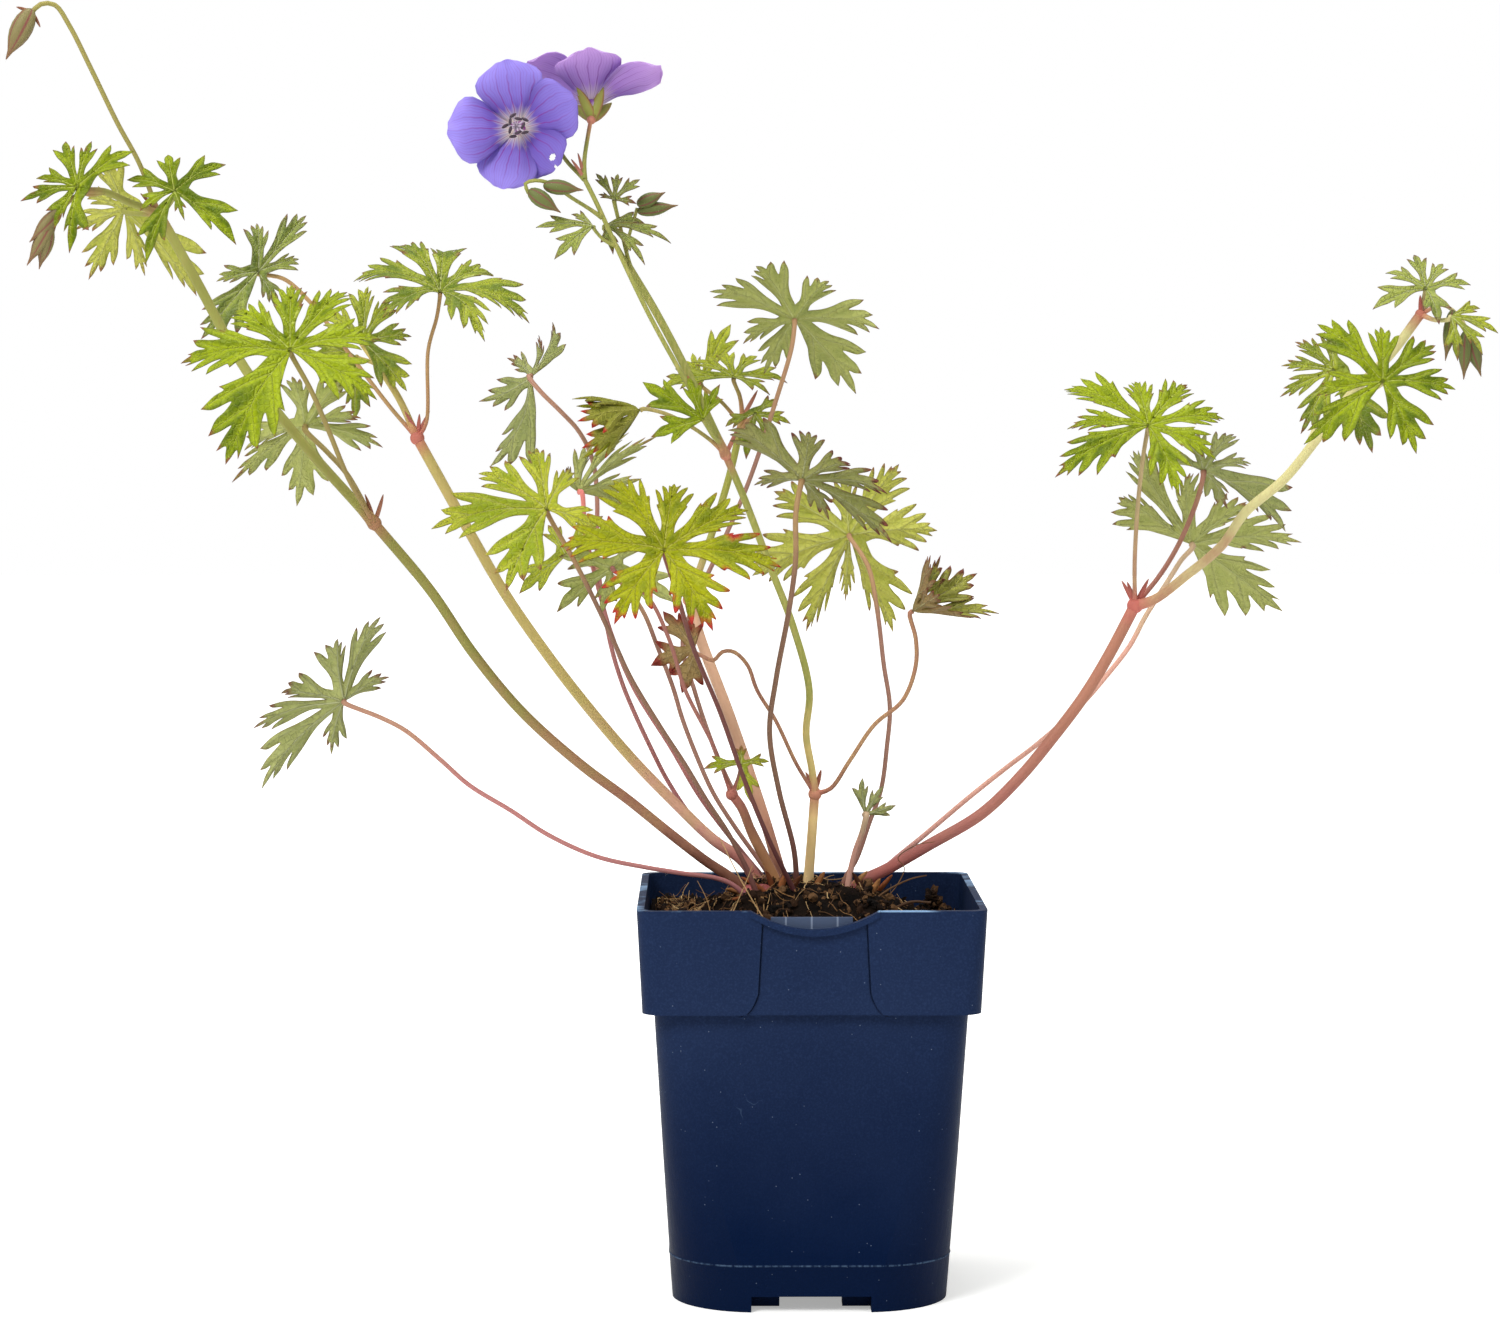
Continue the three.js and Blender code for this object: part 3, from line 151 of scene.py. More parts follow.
def skinned(rings):
    """Points and faces of a stack of rings, the lowest first, closed at both ends."""
    count, top = len(rings[0]), (len(rings) - 1) * len(rings[0])
    faces = [tuple(reversed(range(count)))]
    for low in range(0, top, count):
        for k in range(count):
            after = (k + 1) % count
            faces.append((low + k, low + after, low + count + after, low + count + k))
    return np.concatenate(rings), [*faces, tuple(range(top, top + count))]


def stack(*rings):
    return mesh_object("stack", *skinned([square_ring(*ring) for ring in rings]))


def block(x0, x1, y0, y1, z0, z1):
    rings = [[(x0, y0, z), (x1, y0, z), (x1, y1, z), (x0, y1, z)] for z in (z0, z1)]
    return mesh_object("block", *skinned(rings))


def plate(outline, y0, y1):
    """An outline in the XZ plane, anticlockwise as seen from the front, pushed through from y0 to y1."""
    rings = [[(x, y, z) for x, z in outline] for y in (y1, y0)]
    return mesh_object("plate", *skinned(rings))


def carve(whole, operation, *tools):
    """Joins tools to a solid or cuts them from it, and removes them."""
    for tool in tools:
        modifier = whole.modifiers.new("carve", "BOOLEAN")
        modifier.operation, modifier.object, modifier.solver = operation, tool, "MANIFOLD"
        settle(whole)
        bpy.data.objects.remove(tool)
    return whole


def settle(shown):
    """Applies an object's modifiers to its mesh."""
    bpy.context.view_layer.update()
    evaluated = shown.evaluated_get(bpy.context.evaluated_depsgraph_get())
    mesh = bpy.data.meshes.new_from_object(evaluated)
    shown.modifiers.clear()
    shown.data = mesh
    return shown


def bend(start, pull, end, steps=14):
    """Points on a curve from start to end, pulled towards pull."""
    shares = [step / steps for step in range(steps + 1)]
    return [
        tuple((1 - t) ** 2 * a + 2 * t * (1 - t) * b + t * t * c for a, b, c in zip(start, pull, end))
        for t in shares
    ]


def dip_outline(drop):
    """The hollow in the front rim over the label slot."""
    left, right, middle = DIP["left"], DIP["right"], (DIP["left"] + DIP["right"]) / 2
    low = POT_HEIGHT - drop
    return bend((left, low), (middle, low - 2 * DIP["depth"]), (right, low)) + [
        (right, POT_HEIGHT + 2),
        (left, POT_HEIGHT + 2),
    ]


def panel_outline(inset=0.0):
    """The recess between the flaps, drawn in at its top and rounded out at its foot."""
    left, right = PANEL["left"] - PANEL["tuck"] + inset, PANEL["right"] + PANEL["tuck"] - inset
    knee = SHOULDER + PANEL["round"]
    left_foot = bend((left + 2, knee), (left, SHOULDER), (left - 4, SHOULDER - 1))
    right_foot = bend((right + 4, SHOULDER - 1), (right, SHOULDER), (right - 2, knee))
    top = POT_HEIGHT + 2
    return [(PANEL["left"] + inset, top), *left_foot, *right_foot, (PANEL["right"] - inset, top)]


def front_plate(outline):
    """An outline pushed through the front wall only."""
    return plate(outline, -RIM, -RIM / 4)


def collar_shell(inset):
    foot = (SHOULDER, COLLAR_FOOT / 2 - inset, CORNER["shoulder"])
    return stack(foot, (POT_HEIGHT, RIM / 2 - inset, CORNER["rim"]))


def drain_ring(x, y, z):
    turns = [2 * math.pi * k / DRAIN["sides"] for k in range(DRAIN["sides"])]
    return [(x + DRAIN["radius"] * math.cos(a), y + DRAIN["radius"] * math.sin(a), z) for a in turns]


def make_pot():
    middle = (BASE + WAIST) / 4
    ledge_half = BASE / 2 + (middle - BASE / 2) * LEDGE / (SHOULDER / 2)
    shell = stack(
        (0, BASE / 2, CORNER["base"]),
        (LEDGE - BEAD["half"], ledge_half, CORNER["ledge"]),
        (LEDGE, ledge_half + BEAD["proud"], CORNER["ledge"]),
        (LEDGE + BEAD["half"], ledge_half, CORNER["above"]),
        (SHOULDER / 2, middle, CORNER["middle"]),
        (SHOULDER + 1, WAIST / 2, CORNER["waist"]),
    )
    hollow = stack(
        (FLOOR, BASE / 2 - WALL + 0.4, HOLLOW_CORNER["base"]),
        (SHOULDER / 2, middle - WALL, HOLLOW_CORNER["middle"]),
        (SHOULDER + WALL + 0.5, WAIST / 2 - WALL, HOLLOW_CORNER["waist"]),
    )
    collar_hollow = stack(
        (SHOULDER + WALL, COLLAR_FOOT / 2 - WALL - FLAP, HOLLOW_CORNER["shoulder"]),
        (POT_HEIGHT + 1, RIM / 2 - WALL - FLAP, HOLLOW_CORNER["rim"]),
    )
    panel = carve(front_plate(panel_outline()), "DIFFERENCE", collar_shell(FLAP))
    carve(shell, "UNION", carve(collar_shell(0), "DIFFERENCE", panel))
    # a fine groove runs round the panel, at the flaps' edges
    inner = plate(panel_outline(PANEL["groove"]), -2 * RIM, 0)
    groove = carve(front_plate(panel_outline()), "DIFFERENCE", inner, collar_shell(FLAP + PANEL["groove"]))
    carve(shell, "DIFFERENCE", hollow, collar_hollow, groove)

    # the dip in the front rim with its thick lip, and the ribbed label tab behind it
    front = -RIM / 2
    lip = plate(dip_outline(LIP["deep"]), front - LIP["proud"], front + WALL + LIP["back"])
    above = block(-RIM, RIM, -RIM, 0, POT_HEIGHT, 2 * RIM)
    carve(lip, "DIFFERENCE", plate(dip_outline(0), -RIM, 0), above)
    carve(shell, "DIFFERENCE", front_plate(dip_outline(LIP["cut"])))
    carve(shell, "UNION", lip)
    left, right, low, top, back, thick = (TAB[k] for k in ("left", "right", "low", "top", "back", "thick"))
    carve(shell, "UNION", block(left, right, back - thick, back, low, top))
    for x in (left, (left + right) / 2, right - thick):
        carve(shell, "UNION", block(x, x + thick, front + RIBS["front"], back, low, top - RIBS["short"]))

    # the feet: the underside is hollow, each side is notched, and small blocks flank the notches
    half, wide, roof = FOOT_NOTCH / 2, UNDERSIDE["half"], UNDERSIDE["roof"]
    carve(shell, "DIFFERENCE", stack((-1, wide, UNDERSIDE["round"]), (roof, wide, UNDERSIDE["round"])))
    carve(shell, "DIFFERENCE", block(-half, half, -BASE, BASE, -1, roof))
    carve(shell, "DIFFERENCE", block(-BASE, BASE, -half, half, -1, roof))
    low, near, inner, outer = FOOT_BLOCKS.values()
    for along in ((near, half), (-half, -near)):
        for out in ((inner, outer), (-outer, -inner)):
            carve(shell, "UNION", block(*along, *out, low, FOOT_HEIGHT))
            carve(shell, "UNION", block(*out, *along, low, FOOT_HEIGHT))
    for x, y in np.multiply(DRAIN_HOLES, DRAIN["out"]):
        rings = [drain_ring(x, y, z) for z in (FLOOR - 2 * WALL, FLOOR + 2 * WALL)]
        carve(shell, "DIFFERENCE", mesh_object("drain", *skinned(rings)))
    return shell


pot = make_pot()

pot.name = pot.data.name = "pot_shell"
rounding = pot.modifiers.new("rounded edges", "BEVEL")
rounding.width = POT_EDGE * MM
rounding.segments = 2
rounding.limit_method = "ANGLE"
rounding.angle_limit = math.radians(40)
rounding.harden_normals = True
settle(pot)


class Wire:
    """A value on its way through a node tree. A sum or a comparison with it adds the node that it needs."""

    def __init__(self, socket):
        self.socket = socket

    def __add__(self, other):
        return maths("ADD", self, other)

    def __sub__(self, other):
        return maths("SUBTRACT", self, other)

    def __rsub__(self, other):
        return maths("SUBTRACT", other, self)

    def __mul__(self, other):
        return maths("MULTIPLY", self, other)

    def __truediv__(self, other):
        return maths("DIVIDE", self, other)

    def __lt__(self, other):
        return maths("LESS_THAN", self, other)

    def __gt__(self, other):
        return maths("GREATER_THAN", self, other)

    def __abs__(self):
        return maths("ABSOLUTE", self)

    def ramp(self, low, high, start=0.0, end=1.0):
        """A number that goes from start to end as this one goes from low to high."""
        inputs = {"Value": self, "From Min": low, "From Max": high, "To Min": start, "To Max": end}
        return wired(self.socket.id_data, "ShaderNodeMapRange", inputs)[0]

    def blend(self, first, second):
        """A mix of two colours, numbers or wires, in which this one is the second's share."""
        inputs = {"Factor": self, 6: first, 7: second}
        return wired(self.socket.id_data, "ShaderNodeMix", inputs, data_type="RGBA")[2]

    def split(self):
        """The three parts of a vector."""
        return wired(self.socket.id_data, "ShaderNodeSeparateXYZ", {0: self})


def feed(socket, value):
    """Links a wire to a socket, or sets the socket to a value."""
    if isinstance(value, Wire):
        socket.id_data.links.new(value.socket, socket)
    else:
        socket.default_value = value


def add(tree, kind, inputs=None, **settings):
    """A node in a tree, with its settings, and a value or a wire for each named input."""
    made = tree.nodes.new(kind)
    for name, value in settings.items():
        setattr(made, name, value)
    for name, value in (inputs or {}).items():
        feed(made.inputs[name], value)
    return made


def wired(tree, kind, inputs=None, **settings):
    """The same, as wires from all the node's outputs."""
    return [Wire(socket) for socket in add(tree, kind, inputs, **settings).outputs]


def maths(operation, *values):
    tree = next(value.socket.id_data for value in values if isinstance(value, Wire))
    return wired(tree, "ShaderNodeMath", dict(enumerate(values)), operation=operation)[0]


def colour(code):
    """An sRGB code such as 0x24314f as a linear colour."""
    channels = [(code >> shift & 255) / 255 for shift in (16, 8, 0)]
    return (*[c / 12.92 if c <= 0.04045 else ((c + 0.055) / 1.055) ** 2.4 for c in channels], 1.0)


class Look:
    """A new material: the coordinates it is painted by, its patterns, and what goes to its surface."""

    def __init__(self, name):
        self.material = bpy.data.materials.new(name)
        self.material.use_nodes = True
        self.tree = self.material.node_tree
        self.where = Wire(add(self.tree, "ShaderNodeTexCoord").outputs["Object"])

    def noise(self, scale, detail=3.0, roughness=0.55, upright=1.0):
        """upright: how fast the pattern changes with height; well under 1 it runs up and down in streaks."""
        where = self.where
        if upright != 1.0:
            inputs = {0: where, 1: (1.0, 1.0, upright)}
            where = wired(self.tree, "ShaderNodeVectorMath", inputs, operation="MULTIPLY")[0]
        inputs = {"Vector": where, "Scale": scale, "Detail": detail, "Roughness": roughness}
        return wired(self.tree, "ShaderNodeTexNoise", inputs)[0]

    def mark(self, name, output="Fac"):
        """One of the mesh's marks."""
        return Wire(add(self.tree, "ShaderNodeAttribute", attribute_name=name).outputs[output])

    def placed(self, group, inputs):
        return wired(self.tree, "ShaderNodeGroup", inputs, node_tree=group)

    def specks(self, scale, amount):
        return self.placed(speck_mask, {"Where": self.where, "Scale": scale, "Amount": amount})[0]

    def finish(self, tint, rough, shine, height=None, depth=0.0, more=None):
        """Feeds the surface, with a height in shares of depth in metres, and hands over the material."""
        surface = self.tree.nodes["Principled BSDF"]
        inputs = {"Base Color": tint, "Roughness": rough, "Specular IOR Level": shine, **(more or {})}
        if height is not None:
            inputs["Normal"] = wired(self.tree, "ShaderNodeBump", {"Height": height, "Distance": depth})[0]
        for name, value in inputs.items():
            feed(surface.inputs[name], value)
        return self.material


def new_group(name, inputs, outputs):
    """An empty node group, the wires from its inputs and its output sockets, from their names and kinds."""
    group = bpy.data.node_groups.new(name, "ShaderNodeTree")
    for sockets, way in ((inputs, "INPUT"), (outputs, "OUTPUT")):
        for socket, kind in sockets.items():
            group.interface.new_socket(socket, in_out=way, socket_type=f"NodeSocket{kind}")
    return group, wired(group, "NodeGroupInput")[: len(inputs)], add(group, "NodeGroupOutput").inputs


def speck_group():
    """Small spots at one size, whose share of the surface is set by amount."""
    inputs = {"Where": "Vector", "Scale": "Float", "Amount": "Float"}
    group, (where, scale, amount), made = new_group("specks", inputs, {"Mask": "Float"})
    cells = add(group, "ShaderNodeTexVoronoi", {"Vector": where, "Scale": scale}).outputs
    near = Wire(cells["Distance"]).ramp(0.05, 0.2, 1.0, 0.0)
    pick = wired(group, "ShaderNodeSeparateColor", {"Color": Wire(cells["Color"])})[0]
    feed(made[0], near * (pick < amount))
    return group


speck_mask = speck_group()

POT_NAVY = colour(0x172440)
POT_PALE = colour(0x202E4C)
# the painted shade low on the walls
POT_PAINTED_SHADE = colour(0x021230)
# the painted light through the label tab, and the painted highlights on it
POT_TAB_LIT = colour(0x4A566E)
POT_RIB_HIGHLIGHT = colour(0x8C98AE)
RIB_PITCH = 8.1
# where the tab's painted light ends: in millimetres before and behind its back, and from where to where up
TAB_GLOW = {"deep": (-2.6, 0.3), "fades": (0.116, 0.117)}
POT_GRAIN = colour(0x2C3E62)
POT_DUST = colour(0x8494AC)
# the colour of the scuffs, and of the painted highlights on the ledge and the rim
POT_SCUFF_AND_HIGHLIGHT = colour(0x7FA0C4)


def pot_material():
    look = Look("pot navy polypropylene")
    cloud = look.noise(22.0)
    drag = look.noise(900.0, 2.0, upright=0.06)
    x, y, height = look.where.split()
    tint = cloud.ramp(0.3, 0.75, 0.0, 0.5).blend(POT_NAVY, POT_PALE)
    tint = drag.ramp(0.55, 0.8, 0.0, 0.2).blend(tint, POT_PALE)
    tint = look.noise(1500.0, 2.0).ramp(0.45, 0.75, 0.0, 0.3).blend(tint, POT_GRAIN)
    # painted shade: the walls are painted darker towards the bottom
    painted_low_shade = (height + cloud.ramp(0.3, 0.75, -0.008, 0.008)).ramp(0.02, 0.098, 1.0, 0.0)
    tint = (painted_low_shade * 0.92).blend(tint, POT_PAINTED_SHADE)
    spots = look.specks(800.0, 0.04)
    tint = (spots * 0.4).blend(tint, POT_DUST)
    # fine scuffs, and painted highlights along the ledge's bead and along the rim's top edge
    curls = abs(look.noise(75.0, 2.0) - 0.5).ramp(0.001, 0.006, 1.0, 0.0)
    scuffs = curls * look.noise(31.0).ramp(0.66, 0.72, 0.0, 0.12)
    # painted highlight: a broken pale line along the ledge
    ledge = abs(height - LEDGE * MM).ramp(0.0001, 0.0004, 0.22, 0.0) * drag.ramp(0.35, 0.6)
    # painted highlight: a pale line along the rim's top edge
    rim = height.ramp((POT_HEIGHT - 0.45) * MM, (POT_HEIGHT - 0.1) * MM) * look.noise(60.0).ramp(0.5, 0.62)
    tint = maths("MAXIMUM", maths("MAXIMUM", scuffs, ledge), rim).blend(tint, POT_SCUFF_AND_HIGHLIGHT)
    # painted light: the thin label tab is painted paler than the walls, as light shining through it,
    # and painted highlights, paler still, run up it at the rib pitch
    left, right = (pot_foot[0] + TAB[side] * MM for side in ("left", "right"))
    front, back = (pot_foot[1] + (TAB["back"] + off) * MM for off in TAB_GLOW["deep"])
    across, deep = (x > left) * (x < right), (y > front) * (y < back)
    on_tab = across * deep * height.ramp(*TAB_GLOW["fades"])
    tint = on_tab.blend(tint, POT_TAB_LIT)
    pitches = (x - (left + right) / 2) / (RIB_PITCH * MM)
    off_rib = abs(pitches - maths("ROUND", pitches))
    tint = (off_rib.ramp(0.02, 0.05, 0.7, 0.0) * on_tab).blend(tint, POT_RIB_HIGHLIGHT)
    rough = (cloud + drag).ramp(0.6, 1.4, 0.34, 0.5) + spots * 0.3
    return look.finish(tint, rough, 0.03, drag * 0.7 + look.noise(2600.0, 2.0), 0.00006)


dress(pot, pot_material(), "pot", "pot")


# ---- Peat ----
# Potting peat, filled to about a centimetre under the rim and heaped round the crown, with crumbs, bits of
# bark, and straw and root fibres lying on top.
SOIL_EDGE = 118
SOIL_MOUND = {"high": 14, "at": (2, -4), "wide": 36, "deep": 28}
SOIL_FALL = 0.06
SOIL_GAP = 0.3
TAB_GAP = 1.3
SOIL_STEPS = 96
SOIL_CUP = {"foot": 25, "middle": 16, "waist": 8, "collar": 6, "rim": 5}


def peat_height(x, y):
    """How high the peat is heaped at a place, before its lumps."""
    out_x, out_y = x - SOIL_MOUND["at"][0], y - SOIL_MOUND["at"][1]
    off = (out_x / SOIL_MOUND["wide"]) ** 2 + (out_y / SOIL_MOUND["deep"]) ** 2
    mound = SOIL_MOUND["high"] * np.exp(-(off**2))
    waves = 0.9 * np.sin(x * 0.31 + 1) * np.cos(y * 0.27) + 0.6 * np.sin(x * 0.17 + y * 0.41)
    return SOIL_EDGE + mound + waves - SOIL_FALL * x


def rounded(points, half, round_off):
    """Points of a square from -1 to 1, moved onto a square with rounded corners."""
    spread = np.asarray(points, float) * half
    core = np.clip(spread, round_off - half, half - round_off)
    out = spread - core
    reach = np.linalg.norm(out, axis=1, keepdims=True)
    beyond = np.maximum(np.abs(out).max(axis=1, keepdims=True), 1e-9)
    return core + out * beyond / np.maximum(reach, 1e-9)


def squares(rows, columns):
    """The four corners of each square of a sheet, whose points follow each other along its rows."""
    starts = [row * (columns + 1) + column for row in range(rows) for column in range(columns)]
    return [(a, a + 1, a + columns + 2, a + columns + 1) for a in starts]


def peat_top(x, y):
    """The height of the lumpy top at one place."""
    clods = 1.1 * fractal(Vector((x * 0.16, y * 0.16, 3.0)), 0.9, 2.1, 5)
    grains = 0.5 * cell(Vector((x * 0.9, y * 0.9, 1.0)))
    return float(peat_height(x, y)) + clods + grains - 0.3


def make_peat():
    """The top as a fine sheet of lumps, and plain walls and a bottom that fill the pot."""
    share = (SOIL_EDGE - 5 - SHOULDER) / COLLAR_HEIGHT
    edge = COLLAR_FOOT / 2 + share * (RIM - COLLAR_FOOT) / 2 - WALL - FLAP - SOIL_GAP
    steps, row = SOIL_STEPS, SOIL_STEPS + 1
    ticks = np.arange(row) / steps * 2 - 1
    sheet = np.array([(x, y) for y in ticks for x in ticks])
    points = [(x, y, peat_top(x, y)) for x, y in rounded(sheet, edge, SOIL_CUP["rim"])]
    faces = squares(steps, steps)
    rim = [*range(row), *range(row + steps, row * row, row)]
    rim += [*range(row * row - 2, row * steps - 1, -1), *range(row * (steps - 1), 0, -row)]
    waist = SHOULDER + WALL + SOIL_GAP
    levels = [
        (waist + 0.1, COLLAR_FOOT / 2 - WALL - FLAP - SOIL_GAP - 0.1, SOIL_CUP["collar"]),
        (waist, WAIST / 2 - WALL - SOIL_GAP - 0.2, SOIL_CUP["waist"]),
        (SHOULDER / 2, (BASE + WAIST) / 4 - WALL - SOIL_GAP, SOIL_CUP["middle"]),
        (FLOOR + SOIL_GAP, BASE / 2 - WALL - SOIL_GAP, SOIL_CUP["foot"]),
    ]
    above = rim
    for z, half, round_off in levels:
        count = len(rim)
        below = list(range(len(points), len(points) + count))
        points += [(x, y, z) for x, y in rounded(sheet[rim], half, round_off)]
        faces += [(below[k], below[k - count + 1], above[k - count + 1], above[k]) for k in range(count)]
        above = below
    faces.append(tuple(reversed(above)))
    left, right, back = TAB["left"] - TAB_GAP, TAB["right"] + TAB_GAP, TAB["back"] + TAB_GAP / 2
    slot = block(left, right, -RIM / 2, back, TAB["low"] - 1, 2 * RIM)
    return carve(mesh_object("peat", points, faces), "DIFFERENCE", slot)


peat = make_peat()
PEAT_DARK = colour(0x060403)
PEAT_BROWN = colour(0x1E140D)
PEAT_FIBRE = colour(0x7A5C3C)


def peat_material():
    look = Look("damp peat")
    clods, fine = look.noise(160.0, 6.0, 0.7), look.noise(1400.0, 4.0, 0.7)
    tint = clods.ramp(0.35, 0.7).blend(PEAT_DARK, PEAT_BROWN)
    tint = (look.specks(900.0, 0.06) * 0.5).blend(tint, PEAT_FIBRE)
    return look.finish(tint, 0.95, 0.1, clods + fine * 0.4, 0.0012)


dress(peat, peat_material(), "peat", "soil")


